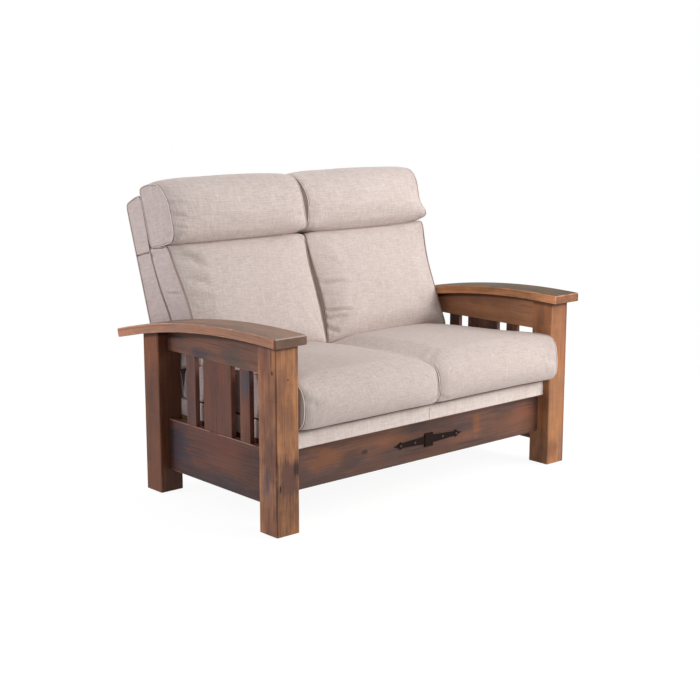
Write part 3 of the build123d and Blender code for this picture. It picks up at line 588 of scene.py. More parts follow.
def wood_group():
    """Sawn, weathered and stained boards. The grain runs along Z of the given vector, in metres."""
    g, given = group(
        "barn_grain",
        {"Vector": "Vector", "Seed": "Float", "Grey": "Float", "Warm": "Color", "Dark": "Color",
         "Slate": "Color", "Wear": "Float", "Streak": "Float"},
        {"Color": "Color", "Roughness": "Float", "Height": "Float"},
    )
    moved = g.vector("ADD", given["Vector"], given["Seed"])
    sway = g.noise(moved, (7, 7, 3.5), 2.0, 0.5, output="Color")
    at = g.vector("MULTIPLY_ADD", sway, (0.016, 0.016, 0.0), moved)
    cloud = g.ramp(g.noise(at, (15, 15, 5.0), 4.0), 0.36, 0.68)
    patch = g.ramp(g.noise(at, (10, 10, 5.5), 4.0, 0.6, (4, 2, 7)), 0.50, 0.66)
    band = g.noise(at, (90, 90, 1.6), 3.0)
    rings = g.ramp(g.noise(at, (260, 260, 2.6), 2.0, 0.5), 0.45, 0.33)
    lines = g.ramp(g.noise(at, (640, 640, 7.0), 2.0, 0.6), 0.47, 0.34)
    pale = g.ramp(g.noise(at, (380, 380, 4.0), 2.0, 0.5, (1, 5, 2)), 0.56, 0.70)
    saw = g.noise(given["Vector"], (4, 4, 230), 2.0, 0.5)
    worn = g.math("MULTIPLY", given["Wear"], g.ramp(g.noise(at, (60, 60, 16), 2.0), 0.30, 0.56))

    def darker(tone, mask, share, colour):
        return g.shade(tone, mask, g.math("MULTIPLY", given["Streak"], share), colour)

    tone = g.mix(cloud, given["Warm"], given["Dark"])
    tone = g.mix(g.math("MULTIPLY", patch, given["Grey"]), tone, given["Slate"])
    tone = darker(tone, g.ramp(band, 0.38, 0.64), 0.50, (0.70, 0.64, 0.63))
    tone = darker(tone, rings, 0.50, (0.40, 0.33, 0.32))
    tone = darker(tone, lines, 0.36, (0.45, 0.38, 0.36))
    tone = g.shade(tone, pale, 0.30, (1.7, 1.6, 1.5))
    tone = darker(tone, g.ramp(saw, 0.50, 0.66), 0.22, (0.70, 0.66, 0.64))
    tone = g.mix(g.math("MULTIPLY", worn, 0.62, clamp=True), tone, g.mix(0.7, tone, linear("C39A84")))
    g.node("NodeGroupOutput", {
        "Color": tone, "Roughness": g.total(0.48, (rings, 0.18)),
        "Height": g.total(0.0, (rings, -0.5), (lines, -0.25), (saw, 0.40), (band, -0.30)),
    })
    return g.tree


def arris_group():
    """1 near the arrises of a box whose middle and half sizes are given, 0 on its faces."""
    g, given = group(
        "arris", {"Vector": "Vector", "Middle": "Vector", "Half": "Vector", "Width": "Float"}, {"Mask": "Float"}
    )
    size = g.vector("ABSOLUTE", g.vector("SUBTRACT", given["Vector"], given["Middle"]))
    left = g.split(g.vector("SUBTRACT", given["Half"], size))
    wobble = g.noise(given["Vector"], (30, 30, 30), 2.0)
    width = g.math("MULTIPLY", given["Width"], g.total(0.35, (wobble, 1.3)))
    near = [g.math("SUBTRACT", 1.0, g.math("DIVIDE", left[i], width), clamp=True) for i in range(3)]
    pairs = [g.math("MULTIPLY", near[a], near[b]) for a, b in ((0, 1), (1, 2), (0, 2))]
    mask = g.math("MAXIMUM", g.math("MAXIMUM", pairs[0], pairs[1]), pairs[2])
    g.node("NodeGroupOutput", {"Mask": g.ramp(mask, 0.05, 0.5)})
    return g.tree


def spot_group():
    """1 inside an ellipsoid round a point, with an edge frayed along the grain, and 0 outside."""
    g, given = group(
        "spot",
        {"Vector": "Vector", "Point": "Vector", "Size": "Vector", "Grain": "Vector", "Ragged": "Float"},
        {"Mask": "Float"},
    )
    away = g.vector("SUBTRACT", given["Vector"], given["Point"])
    far = g.vector("LENGTH", g.vector("DIVIDE", away, given["Size"]))
    frayed = g.noise(given["Grain"], (130, 130, 9), 3.0, 0.6)
    cloudy = g.noise(given["Grain"], (30, 30, 12), 3.0, 0.6)
    rag = g.total(-1.0, (frayed, 1.0), (cloudy, 1.0))
    g.node("NodeGroupOutput", {"Mask": g.ramp(g.total(far, (rag, given["Ragged"])), 1.15, 0.35)})
    return g.tree


def linen_group():
    """Slubbed linen: U and V run along the two yarns, in metres."""
    g, given = group(
        "linen", {"Vector": "Vector", "Light": "Color", "Dark": "Color", "Seed": "Float"},
        {"Color": "Color", "Height": "Float"},
    )
    at = g.vector("ADD", given["Vector"], given["Seed"])

    def yarn(long, short, low, high, detail=2.0, rough=0.6, place=(0, 0, 0)):
        return g.ramp(g.noise(at, (long, short, 1), detail, rough, place), low, high)

    weft = yarn(24, 290, 0.36, 0.66)
    warp = yarn(290, 24, 0.36, 0.66, place=(3, 1, 0))
    fine_weft = yarn(80, 950, 0.38, 0.66)
    fine_warp = yarn(950, 80, 0.38, 0.66, place=(5, 2, 0))
    slub_weft = yarn(30, 420, 0.61, 0.72, 1.0, 0.55, (7, 3, 0))
    slub_warp = yarn(420, 30, 0.61, 0.72, 1.0, 0.55, (2, 8, 0))
    mottle = yarn(110, 110, 0.35, 0.70, 3.0, 0.7)
    broad = g.noise(at, (7, 7, 1), 2.0, 0.5)
    weave = g.math("MULTIPLY", g.wave(at, (0, 150, 0), "Y"), g.wave(at, (150, 0, 0), "X"))
    dark = g.total(
        0.0, (weft, 0.42), (warp, 0.34), (fine_weft, 0.20), (fine_warp, 0.18), (mottle, 0.14), (broad, 0.30)
    )
    tone = g.mix(g.math("MULTIPLY", dark, 0.62, clamp=True), given["Light"], given["Dark"])
    pale = g.math("MAXIMUM", slub_weft, slub_warp)
    tone = g.mix(g.math("MULTIPLY", pale, 0.40), tone, g.times(given["Light"], (1.14, 1.13, 1.12)))
    g.node("NodeGroupOutput", {
        "Color": tone, "Height": g.total(0.0, (weave, 0.4), (pale, 0.6), (weft, -0.35), (warp, -0.35)),
    })
    return g.tree


WOOD = wood_group()
ARRIS = arris_group()
SPOT = spot_group()
LINEN = linen_group()


def new_material(name):
    """Material with an empty node tree, as (material, graph)."""
    material = bpy.data.materials.new(name)
    material.use_nodes = True
    return material, Graph(material.node_tree)


def show(g, surface):
    """Ends a material's tree with the output of this shader."""
    g.node("ShaderNodeOutputMaterial", {"Surface": surface.outputs[0]}, name="Material Output")


GRAIN = {"x": (0, math.pi / 2, 0), "y": (math.pi / 2, 0, 0), "z": (0, 0, 0)}
STAIN_TINT = 0.55  # share of a stain that is the board's tone times its colour; the rest is flat
STAIN_GAIN = 2.4
UNDER_ARM = 0.009  # how much of a board's top the arm's overhang hides from the camera, in metres; the painted shadow under the arm lies below it
UNDER_LEFT_ARM = 0.021


def barnwood(
    node, grain, seed, warm, dark, grey, wear, spots, slate="4A4647", width=0.005, streak=1.0, gloss=0.22,
    bowed=False,
):
    """Stained and worn board material for one node. Spots are (point, size, colour, share, ragged).

    A spot's colour is a display colour, or three numbers that the board's own tone is multiplied by. Some spots are
    painted light or painted shade, each marked where it is listed. Posts and upper rails get a painted shadow close
    under the arm. On a bowed board the grain and the worn arrises follow the bow: Z is the distance from the bow's
    axis.
    """
    material, g = new_material("barnwood_" + node)
    at = g.object_place()
    low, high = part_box(node)
    middle, half = (low + high) / 2, (high - low) / 2
    x, y, z = g.split(at)
    behind, above = g.math("SUBTRACT", y, ARM_PEAK_Y), g.math("SUBTRACT", z, ARM_AXIS_Z)
    reach = g.math("SQRT", g.total(0.0, (behind, behind), (above, above)))
    body = at
    if bowed:
        body = g.node("ShaderNodeCombineXYZ", {"X": x, "Y": y, "Z": reach}).outputs[0]
        middle.z, half.z = ARM_RADIUS - ARM_THICKNESS / 2, ARM_THICKNESS / 2
    turn = g.node("ShaderNodeMapping", {"Vector": body, "Rotation": GRAIN[grain]}, vector_type="TEXTURE")
    turned = turn.outputs[0]
    worn = g.use(ARRIS, {"Vector": body, "Middle": tuple(middle), "Half": tuple(half), "Width": width})[0]
    wood = g.use(WOOD, {
        "Vector": turned, "Seed": seed, "Grey": grey, "Warm": linear(warm), "Dark": linear(dark),
        "Slate": linear(slate), "Wear": g.math("MULTIPLY", worn, wear), "Streak": streak,
    })
    tone = wood["Color"]
    for place, size, colour, share, ragged in spots:
        mask = g.use(SPOT, {
            "Vector": at, "Point": tuple(point(seat_place, *place)), "Size": tuple(v / 1000 for v in size),
            "Ragged": ragged, "Grain": turned,
        })[0]
        if isinstance(colour, str):
            stain = linear(colour)
            stained = g.mix(1 - STAIN_TINT, stain, g.times(tone, [STAIN_GAIN * c for c in stain[:3]]))
            tone = g.mix(g.math("MULTIPLY", mask, share), tone, stained)
        else:
            tone = g.shade(tone, mask, share, colour)
    # Painted shadow under the arm: posts and upper rails turn dark in the 10 mm below the arm's hidden underside.
    if node.endswith(("_post", "_upper_rail")):
        foot = ARM_RADIUS - ARM_THICKNESS - (UNDER_LEFT_ARM if node == "left_upper_rail" else UNDER_ARM)
        tone = g.shade(tone, g.ramp(reach, foot - 0.010, foot), 0.85, (0.25, 0.20, 0.20))
    show(g, g.node("ShaderNodeBsdfPrincipled", {
        "Base Color": tone, "Roughness": wood["Roughness"], "Normal": g.bump(wood["Height"], 0.0008),
        "Specular IOR Level": gloss, "Coat Weight": gloss / 4, "Coat Roughness": 0.5,
    }))
    return material


SEAM_AND_FOOT_SHADE = linear("643F34")  # painted shade: the dark line beside a seam, and the painted shadow at the foot of a cushion or the deck


def linen(name, seed, light="DDD0CA", dark="B0A19C", sewn=True, foot=None):
    """Slubbed linen, with painted shade in the groove beside a seam and a painted shadow below its foot's level."""
    material, g = new_material(name)
    at = g.node("ShaderNodeUVMap", uv_map="cloth").outputs[0]
    cloth = g.use(LINEN, {"Vector": at, "Light": linear(light), "Dark": linear(dark), "Seed": seed})
    tone = cloth["Color"]
    # Painted shade: within a few millimetres of a seam the cloth turns to the dark shade colour.
    if sewn:
        gap = g.node("ShaderNodeAttribute", attribute_name="seam_gap").outputs["Fac"]
        tone = g.mix(g.math("MULTIPLY", g.ramp(gap, 0.0052, 0.0014), 0.9), tone, SEAM_AND_FOOT_SHADE)
    # Painted shadow: below the foot's level the cloth turns to the dark shade colour.
    if foot:
        tone = g.mix(g.ramp(g.split(g.object_place())["Z"], foot, foot - 0.003), tone, SEAM_AND_FOOT_SHADE)
    show(g, g.node("ShaderNodeBsdfPrincipled", {
        "Base Color": tone, "Roughness": 0.9, "Normal": g.bump(cloth["Height"], 0.0006),
        "Specular IOR Level": 0.12, "Sheen Weight": 0.08, "Sheen Roughness": 0.5,
    }))
    return material


def plain(name, colour, rough, scale, metal=0.0, spread=0.15, depth=0.0002, sheen=0.0, gloss=0.5):
    """Simple finish whose colour and relief come from fine noise."""
    material, g = new_material(name)
    speck = g.noise(g.object_place(), (scale, scale, scale), 3.0, 0.6)
    base = linear(colour)[:3]
    low = (*(c * (1 - spread) for c in base), 1.0)
    high = (*(min(1.0, c * (1 + spread)) for c in base), 1.0)
    show(g, g.node("ShaderNodeBsdfPrincipled", {
        "Base Color": g.mix(speck, low, high), "Roughness": rough, "Normal": g.bump(speck, depth),
        "Metallic": metal, "Specular IOR Level": gloss, "Sheen Weight": sheen,
    }))
    return material


def dress(material, *names):
    """Gives CAD nodes a material in place of their own."""
    for name in names:
        materials = nodes[name].data.materials
        materials.clear()
        materials.append(material)


def on_both_sides(*parts):
    return [side + "_" + part for side in SIDES for part in parts]


# ---------------------------------------------------------------- wood

right_slat = dict(grain="z", warm="80583F", dark="5A4036", grey=0.3, wear=0.2)
wood_looks = {
    "left_front_post": dict(
        grain="z", seed=1.3, warm="C48A5C", dark="8E6248", grey=0.35, slate="6A5450", wear=0.1
    ),
    "right_front_post": dict(grain="z", seed=4.1, warm="B27A50", dark="8C5E42", grey=0.20, wear=0.3, streak=0.8),
    "left_rear_post": dict(
        grain="z", seed=7.7, warm="75482F", dark="573428", grey=0.30, slate="49352F", wear=0.1, streak=0.8
    ),
    "right_rear_post": dict(grain="z", seed=9.2, warm="8F6344", dark="6B4730", grey=0.35, wear=0.4),
    "left_arm": dict(
        grain="y", seed=2.2, warm="92735F", dark="786456", grey=0.45, slate="6E6058", bowed=True, wear=1.3,
        width=0.0035, streak=0.7,
    ),
    "right_arm": dict(
        grain="y", seed=5.6, warm="624E38", dark="463A28", grey=0.30, slate="42392A", bowed=True, wear=0.25,
        width=0.0035, streak=0.6, gloss=0.06,
    ),
    "left_upper_rail": dict(
        grain="y", seed=3.3, warm="815744", dark="684A40", grey=0.45, slate="5A5248", wear=0.1, streak=0.7
    ),
    "right_upper_rail": dict(grain="y", seed=6.4, warm="C48C66", dark="A6785A", grey=0.20, wear=0.2, streak=0.35),
    "left_lower_rail": dict(
        grain="y", seed=8.8, warm="6A4234", dark="553A35", grey=0.45, slate="443A42", wear=1.8, width=0.003,
        streak=0.6,
    ),
    "right_lower_rail": dict(grain="y", seed=11.1, warm="74493A", dark="54392F", grey=0.4, wear=0.5),
    "left_front_slat": dict(grain="z", seed=12.5, warm="7C4E3C", dark="5E4036", grey=0.2, wear=0.1),
    "left_wide_slat": dict(
        grain="z", seed=13.7, warm="724536", dark="5E3C32", grey=0.15, slate="5C4440", wear=0.1, streak=0.8
    ),
    "left_rear_slat": dict(grain="z", seed=14.9, warm="6E4A40", dark="584444", grey=0.4, slate="5A5058", wear=0.1),
    "right_front_slat": dict(seed=15.5, **right_slat),
    "right_wide_slat": dict(seed=16.3, **right_slat),
    "right_rear_slat": dict(seed=17.8, **right_slat),
    "front_rail": dict(
        grain="x", seed=18.4, warm="724E3D", dark="5A4139", grey=0.55, slate="544648", wear=0.0, streak=0.7
    ),
    "rear_rail": dict(grain="x", seed=19.6, warm="80583F", dark="5F4538", grey=0.4, wear=0.3),
}
wood_spots = {
    "left_front_post": [
        ((-628, 0, 185), (60, 26, 90), "5E4A4B", 0.80, 1.5),
        ((-596, 0, 207), (15, 20, 36), "33272A", 0.85, 1.2),
        ((-662, 0, 158), (3, 10, 15), "1C1212", 0.95, 0.5),
        ((-629, 0, 497), (6, 8, 4), "4A3020", 0.80, 0.5),
        ((-632, 0, 110), (90, 10, 190), (0.74, 0.76, 0.80), 0.9, 0.8),
        ((-676, 19, 521), (9, 8, 10), "2A1A18", 0.90, 0.8),
        ((-676, 23, 568), (9, 4, 50), "4A3028", 0.65, 0.8),
        ((-676, 55, 168), (12, 26, 66), "65606C", 0.70, 1.5),
        ((-676, 30, 240), (12, 50, 90), "5F4440", 0.60, 1.5),
        ((-676, 60, 560), (12, 34, 60), "7C5850", 0.60, 1.5),
        ((-676, 50, 60), (12, 50, 60), "6E4A44", 0.50, 1.5),
        # Painted shade: the whole left face is darkened and turned lilac, as a side in shadow.
        ((-678, 46, 300), (5, 110, 900), (0.84, 0.80, 0.86), 1.0, 0.1),
        ((-678, 46, 170), (6, 70, 220), (0.80, 0.86, 0.98), 0.8, 0.9),
        ((-677, -1, 300), (6, 6, 900), (0.52, 0.46, 0.44), 1.0, 0.5),
    ],
    "right_front_post": [
        ((640, 0, 570), (70, 10, 210), (0.76, 0.74, 0.80), 0.9, 0.6),
        ((614, 0, 62), (30, 12, 40), "6E4A36", 0.50, 1.4),
        ((676, 0, 300), (16, 10, 900), (0.78, 0.76, 0.84), 1.0, 0.5),
        ((664, 0, 60), (30, 10, 100), (0.78, 0.86, 1.10), 0.8, 0.8),
        ((590, 45, 60), (10, 60, 110), (0.74, 0.76, 0.78), 0.8, 0.8),
    ],
    "left_rear_post": [
        # Painted shade: the whole front face is darkened, as in shadow.
        ((-630, 638, 350), (60, 10, 600), (0.55, 0.50, 0.46), 0.9, 0.2),
        # Painted light: a lit patch on the upper part of the post.
        ((-676, 690, 540), (8, 100, 190), (1.45, 1.30, 1.12), 0.9, 0.4),
    ],
    "left_arm": [
        # Painted light: the outer edge face is made lighter and warmer than the arm's top.
        ((-704, 400, 600), (6, 1500, 500), (1.95, 1.46, 1.22), 1.0, 0.1),
        ((-640, -31, 620), (90, 6, 60), (0.60, 0.57, 0.56), 1.0, 0.1),
        ((-638, -28, 632.6), (160, 4.0, 3.0), "D2C4BE", 0.80, 0.6),
        ((-701, -28, 618), (5, 5, 60), (0.35, 0.30, 0.30), 0.9, 0.2),
    ],
    "right_arm": [
        # Painted light: the inner edge face, and in the next spot the front end, are made much lighter than the arm's
        # top.
        ((573, 400, 600), (6, 1500, 500), (6.0, 4.5, 4.3), 1.0, 0.1),
        ((640, -31, 625), (90, 6, 60), (2.8, 2.0, 2.1), 1.0, 0.1),
        ((638, -28, 632.6), (160, 4.5, 3.5), (1.7, 1.7, 1.8), 0.85, 0.6),
    ],
    "left_upper_rail": [
        ((-636, 440, 505), (16, 64, 34), "4B4854", 0.75, 1.5),
        ((-636, 270, 520), (16, 80, 36), "5A5650", 0.70, 1.5),
    ],
    "left_lower_rail": [
        ((-636, 595, 185), (16, 90, 100), "45424F", 0.80, 1.5),
        ((-636, 300, 92), (16, 460, 36), "483A3E", 0.75, 1.5),
        ((-636, 330, 222), (16, 150, 32), "8A4E38", 0.50, 1.5),
        ((-636, 150, 170), (16, 130, 90), (0.62, 0.66, 0.70), 0.9, 1.0),
    ],
    "left_front_slat": [
        ((-633, 215, 455), (14, 40, 70), "565460", 0.80, 1.3),
        # Painted shade on the slat's front edge face.
        ((-624, 188, 400), (30, 4, 400), (0.6, 0.5, 0.5), 1.0, 0.1),
    ],
    "front_rail": [
        ((-440, 52, 204), (100, 14, 34), "9E6A48", 0.70, 1.8),
        ((-160, 52, 208), (95, 14, 26), "A26C4A", 0.60, 1.8),
        ((170, 52, 168), (130, 14, 22), "9A6850", 0.50, 1.8),
        ((262, 52, 196), (22, 14, 46), "A66A44", 0.60, 1.6),
        ((500, 52, 205), (75, 14, 50), "A66A4C", 0.45, 1.8),
        ((-268, 52, 196), (18, 10, 9), "332C2C", 0.85, 1.6),
        ((-470, 52, 132), (160, 14, 20), "5C4A45", 0.65, 1.6),
        ((-330, 52, 175), (55, 14, 44), "564640", 0.65, 1.8),
        ((20, 52, 236), (160, 14, 20), "5C4C4A", 0.60, 1.6),
        # Painted shadow: a dark line along the rail's top, under the overhang of the deck.
        ((0, 56, 262), (900, 30, 6), (0.30, 0.25, 0.25), 1.0, 0.3),
        ((0, 52, 180), (230, 14, 110), (0.72, 0.69, 0.68), 0.9, 1.0),
    ],
}
for node, look in wood_looks.items():
    dress(barnwood(node, spots=wood_spots.get(node, ()), **look), node)

dress(
    plain("plain_hardwood", "9C7A58", 0.6, 60.0),
    "front_cleat", "rear_cleat", "centre_stretcher", "back_spacers", "arm_dowels",
    *on_both_sides("seat_front_rail", "seat_rear_rail", "seat_side_rails", "back_boards", "back_rails"),
)
dress(plain("black_iron", "20110B", 0.65, 200.0, spread=0.7, depth=0.0012, gloss=0.1), "strap_plate")
dress(plain("worn_steel", "58524D", 0.45, 300.0, metal=0.6), "strap_screws")
dress(
    plain("plated_steel", "8C8B88", 0.35, 300.0, metal=0.9),
    "cleat_screws", "seat_screws", "back_bolts", "back_screws", *on_both_sides("spring_clips"),
)
dress(plain("spring_wire", "4A4B4D", 0.4, 300.0, metal=0.8), *on_both_sides("seat_springs"))
dress(plain("dark_nylon", "26231F", 0.5, 300.0), "post_glides")

# ---------------------------------------------------------------- soft pieces

# The seat's linen is a darker copy of the cloth, painted shade, and its band below the foot is a painted shadow where
# the cushion meets the deck.
cloth_seat = linen("linen_seat", 0.0, "D4C7C1", "A99A95", foot=0.3320)
cloth_back = linen("linen_back", 3.1)
cloth_head = linen("linen_head", 5.7)
cloth_cover = linen("linen_cover", 8.3)
# The deck's linen is a paler copy of the cloth, painted light, and its band below the foot is a painted shadow over
# the front rail.
cloth_deck = linen("linen_deck", 6.6, "EBDFD8", "C4B5AE", sewn=False, foot=0.2662)
# Piping cloth. The paler copy of the linen is a painted highlight where the welts catch light. The darker copy, used
# on the lower back pads, is painted shade along their seams.
cloth_piping_lit = linen("linen_piping_painted_highlight", 1.9, "EADFD8", "CDBFB7", sewn=False)
cloth_piping_shaded = linen("linen_piping_painted_shade", 2.8, "B8A59C", "9A857D", sewn=False)


def back_measures(co):
    """How far points are ahead of the back's rear face and up along its lean, all in metres."""
    y, z = co[:, 1] - BACK_FOOT_Y, co[:, 2] - SEAT_LEVEL
    return z * math.sin(LEAN) - y * math.cos(LEAN), y * math.sin(LEAN) + z * math.cos(LEAN)


def ripple(co, size, seed):
    """Sum of three slow waves that keeps a wide panel of cloth from lying dead flat."""
    x, y, z = co.T
    wave = np.sin(9 * x + 5 * z + seed) * np.sin(7 * z - 4 * y + 2 * seed)
    wave += 0.5 * np.sin(23 * x - 11 * z + 3 * seed) + 0.3 * np.sin(41 * x + 17 * z - 13 * y + seed)
    return size * wave / (1 + 0.5 + 0.3)


def normals(mesh):
    values = np.zeros(len(mesh.vertices) * 3)
    mesh.vertex_normals.foreach_get("vector", values)
    return values.reshape(-1, 3)


DECK_TOP = 0.3220
COVER_FRONT = 0.0885
MIDDLE_GAP = 0.0010  # from the settle's middle to a cushion's inner side
ARM_SIDE = 0.5860


def on_deck(co):
    """Keeps a right seat cushion on the deck, beside its arm and beside its neighbour."""
    co[:, 2] = np.maximum(co[:, 2], DECK_TOP)
    co[:, 0] = np.clip(co[:, 0], MIDDLE_GAP, ARM_SIDE)
    return co


def ahead_of_cover(co):
    """Keeps a cushion of the right back ahead of the cover and clear of its neighbour."""
    co += np.maximum(0, COVER_FRONT - back_measures(co)[0])[:, None] * AHEAD
    co[:, 0] = np.maximum(co[:, 0], MIDDLE_GAP)
    return co


def cover(piece, material):
    piece.data.materials.append(material)


def stand_in(piece, material, body, node):
    """Gives a new piece its material, slot and body, and the CAD node that it replaces, if any."""
    cover(piece, material)
    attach(piece, body)
    if node:
        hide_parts(node)


# Limits are in metres from the settle's middle. The points of folds and lines are in millimetres: X outwards
# from the middle, then the two measures of the piece's place. A fold's width and depth follow its points
BASE_SPEC = dict(
    draw_in=0.0, shift=None, roll=(0.0, 0), bare_foot=False, cap=0.0, keep=None, hard=1.0, welt=0.0, front=None,
    lines=(), folds=(), end_folds=(),
)
CUSHION_SPEC = dict(cap=0.006, hard=0.75, welt=0.0021)
soft_specs = {
    "seat_pad": dict(
        CUSHION_SPEC, corners=SEAT_CORNERS, counts=(56, 62, 15), place=seat_place, draw_in=0.009, keep=on_deck,
        ripple=0.0012, roll=(4.0, 0), front=FORWARD,
        left=dict(
            outlines=(SEAT_INNER, SEAT_MIDDLE, SEAT_LEFT), limits=(0.0016, 0.5815), shift=left_seat_shift,
            folds=[
                ((4, -26, 352), (46, -30, 338), 6, 2.5),
                ((10, 20, 470), (70, -10, 462), 14, 2.0),
                ((580, -25, 420), (525, -30, 410), 14, 1.6),
            ],
        ),
        right=dict(
            outlines=(SEAT_INNER, SEAT_MIDDLE, SEAT_RIGHT), limits=(0.0016, 0.5845), shift=seat_shift,
            folds=[
                ((4, -26, 350), (50, -30, 340), 6, 2.2),
                ((580, -25, 400), (520, -30, 412), 14, 1.8),
            ],
        ),
    ),
    "lower_back_pad": dict(
        CUSHION_SPEC, corners=BACK_CORNERS, limits=(0.0012, 0.572), counts=(56, 16, 40), place=back_place,
        draw_in=0.005, shift=back_shift, keep=ahead_of_cover, ripple=0.0014, roll=(4.0, 3), front=AHEAD,
        left=dict(
            outlines=(BACK_INNER, BACK_MIDDLE, BACK_LEFT),
            folds=[
                ((565, 250, 505), (470, 250, 462), 20, 3.0),
                ((552, 250, 412), (470, 250, 385), 18, 2.6),
                ((545, 255, 330), (480, 255, 345), 16, 1.8),
                ((44, 245, 536), (4, 245, 500), 8, 2.4),
            ],
            end_folds=[
                ((573, 139, 388), (573, 229, 370), 5, 2.8),
                ((573, 78, 536), (573, 200, 516), 8, 3.0),
                ((573, 105, 508), (573, 181, 496), 6, 2.0),
            ],
        ),
        right=dict(
            outlines=(BACK_INNER, BACK_MIDDLE, BACK_RIGHT),
            folds=[
                ((4, 262, 343), (130, 262, 333), 9, 2.6),
                ((2, 262, 241), (118, 262, 228), 6, 3.8),
                ((2, 262, 207), (90, 262, 212), 8, 2.8),
                ((2, 262, 178), (52, 262, 153), 8, 2.4),
                ((565, 255, 180), (500, 262, 205), 14, 2.0),
            ],
            end_folds=[((573, 130, 402), (573, 222, 386), 5, 2.2)],
        ),
    ),
    "headrest_pad": dict(
        CUSHION_SPEC, corners=HEAD_CORNERS, limits=(0.0012, 0.572), counts=(56, 17, 22), place=back_place,
        draw_in=0.004, shift=head_shift, keep=ahead_of_cover, ripple=0.0014, roll=(4.0, 3), front=AHEAD,
        left=dict(
            outlines=(HEAD_INNER, HEAD_MIDDLE, HEAD_LEFT),
            folds=[
                ((570, 262, 676), (512, 262, 672), 6, 2.0),
                ((570, 262, 636), (520, 262, 627), 6, 2.4),
                ((570, 262, 596), (527, 262, 586), 5, 2.0),
                ((566, 262, 566), (521, 262, 560), 5, 1.8),
                ((6, 262, 600), (60, 262, 590), 9, 1.6),
            ],
        ),
        right=dict(
            outlines=(HEAD_INNER, HEAD_MIDDLE, HEAD_RIGHT),
            folds=[
                ((6, 262, 700), (70, 262, 690), 10, 2.0),
                ((6, 262, 620), (60, 262, 628), 8, 1.8),
                ((570, 270, 600), (520, 270, 590), 7, 2.2),
                ((570, 270, 650), (515, 270, 655), 8, 1.8),
            ],
        ),
    ),
    "back_jacket": dict(
        corners=COVER_CORNERS, outlines=(COVER_END, COVER_MIDDLE, COVER_END), limits=(0.0015, 0.5735),
        counts=(48, 9, 60), place=back_place, draw_in=0.002, ripple=0.0010, welt=0.0016,
        # The cover's sewn line gets the painted shade of a seam groove.
        end_folds=[((573, -4, 554), (573, 90, 546), 3.5, 1.4)], lines=[((573, 0, 554), (573, 86, 546))],
    ),
    "deck_jacket": dict(
        corners=DECK_CORNERS, outlines=(DECK_OUTLINE, DECK_OUTLINE, DECK_OUTER), limits=(0.0008, 0.5848),
        counts=(52, 58, 8), place=seat_place, ripple=0.0004, bare_foot=True,
    ),
}
CALM = 0.03  # distance from a seam, in metres, beyond which the cloth ripples fully


def make_soft(name, side, material, body, node, fill):
    """Padded piece of one side: built on the right, swollen by the solver, mirrored if left, creased, piped."""
    spec = {**BASE_SPEC, **soft_specs[name], **soft_specs[name].get(side, {})}
    way, place, keep = SIDES[side], spec["place"], spec["keep"]
    flip = np.array([way, 1, 1])

    def at(outwards, a, b):
        return point(place, way * outwards, a, b)

    piece, seams = soft_box(
        side + "_" + name, spec["limits"], spec["counts"], spec["corners"], spec["outlines"], place,
        spec["draw_in"], spec["shift"], spec["roll"], spec["bare_foot"],
    )
    if spec["cap"]:
        inflate(piece, seams, spec["cap"])
    if keep:
        set_coordinates(piece.data, keep(coordinates(piece.data)))
    if side == "left":
        set_coordinates(piece.data, coordinates(piece.data) * flip)
        turn_outwards(piece.data)
    refine(piece, seams, spec["hard"])
    gap = seam_gaps(piece, seams, [(at(*start), at(*end)) for start, end in spec["lines"]])
    co = coordinates(piece.data)
    free = np.clip(gap / CALM, 0, 1)
    co += (free * ripple(co, spec["ripple"], way + fill))[:, None] * normals(piece.data)
    for rows, normal in ((spec["folds"], spec["front"]), (spec["end_folds"], way * SIDEWAYS)):
        for start, end, width, depth in rows:
            co = fold(co, at(*start), at(*end), normal, width, depth)
    set_coordinates(piece.data, keep(co * flip) * flip if keep else co)
    stand_in(piece, material, body, node)
    for label, seam, outwards in (("inner", seams[0], -1), ("outer", seams[1], 1)) if spec["welt"] else ():
        made = seam_welt(piece.name + "_welt_" + label, piece, seam, outwards * way, spec["welt"])
        # Piping on the lower back pads takes the darker copy, painted shade, and the rest takes the paler one, a
        # painted highlight.
        cover(made, cloth_piping_shaded if name == "lower_back_pad" else cloth_piping_lit)
        made.parent = piece


for side in SIDES:
    for name, material, body, node, fill in (
        ("seat_pad", cloth_seat, side + "_loose_cushion", "_seat_cushion", 0.8),
        ("lower_back_pad", cloth_back, "frame", "_back_cushion", 0.7),
        ("headrest_pad", cloth_head, "frame", "_headrest", 0.75),
        ("back_jacket", cloth_cover, "frame", "_back_cover", 0.9),
        ("deck_jacket", cloth_deck, "frame", "_deck_cover", 0.9),
    ):
        make_soft(name, side, material, body, side + node, fill)

# ---------------------------------------------------------------- hidden cloth

felt = plain("needled_felt", "9D988F", 0.95, 500.0, sheen=0.2)
webbing = plain("elastic_strap", "5A4838", 0.8, 700.0)
lining = plain("black_lining", "1A1A1C", 0.9, 900.0)


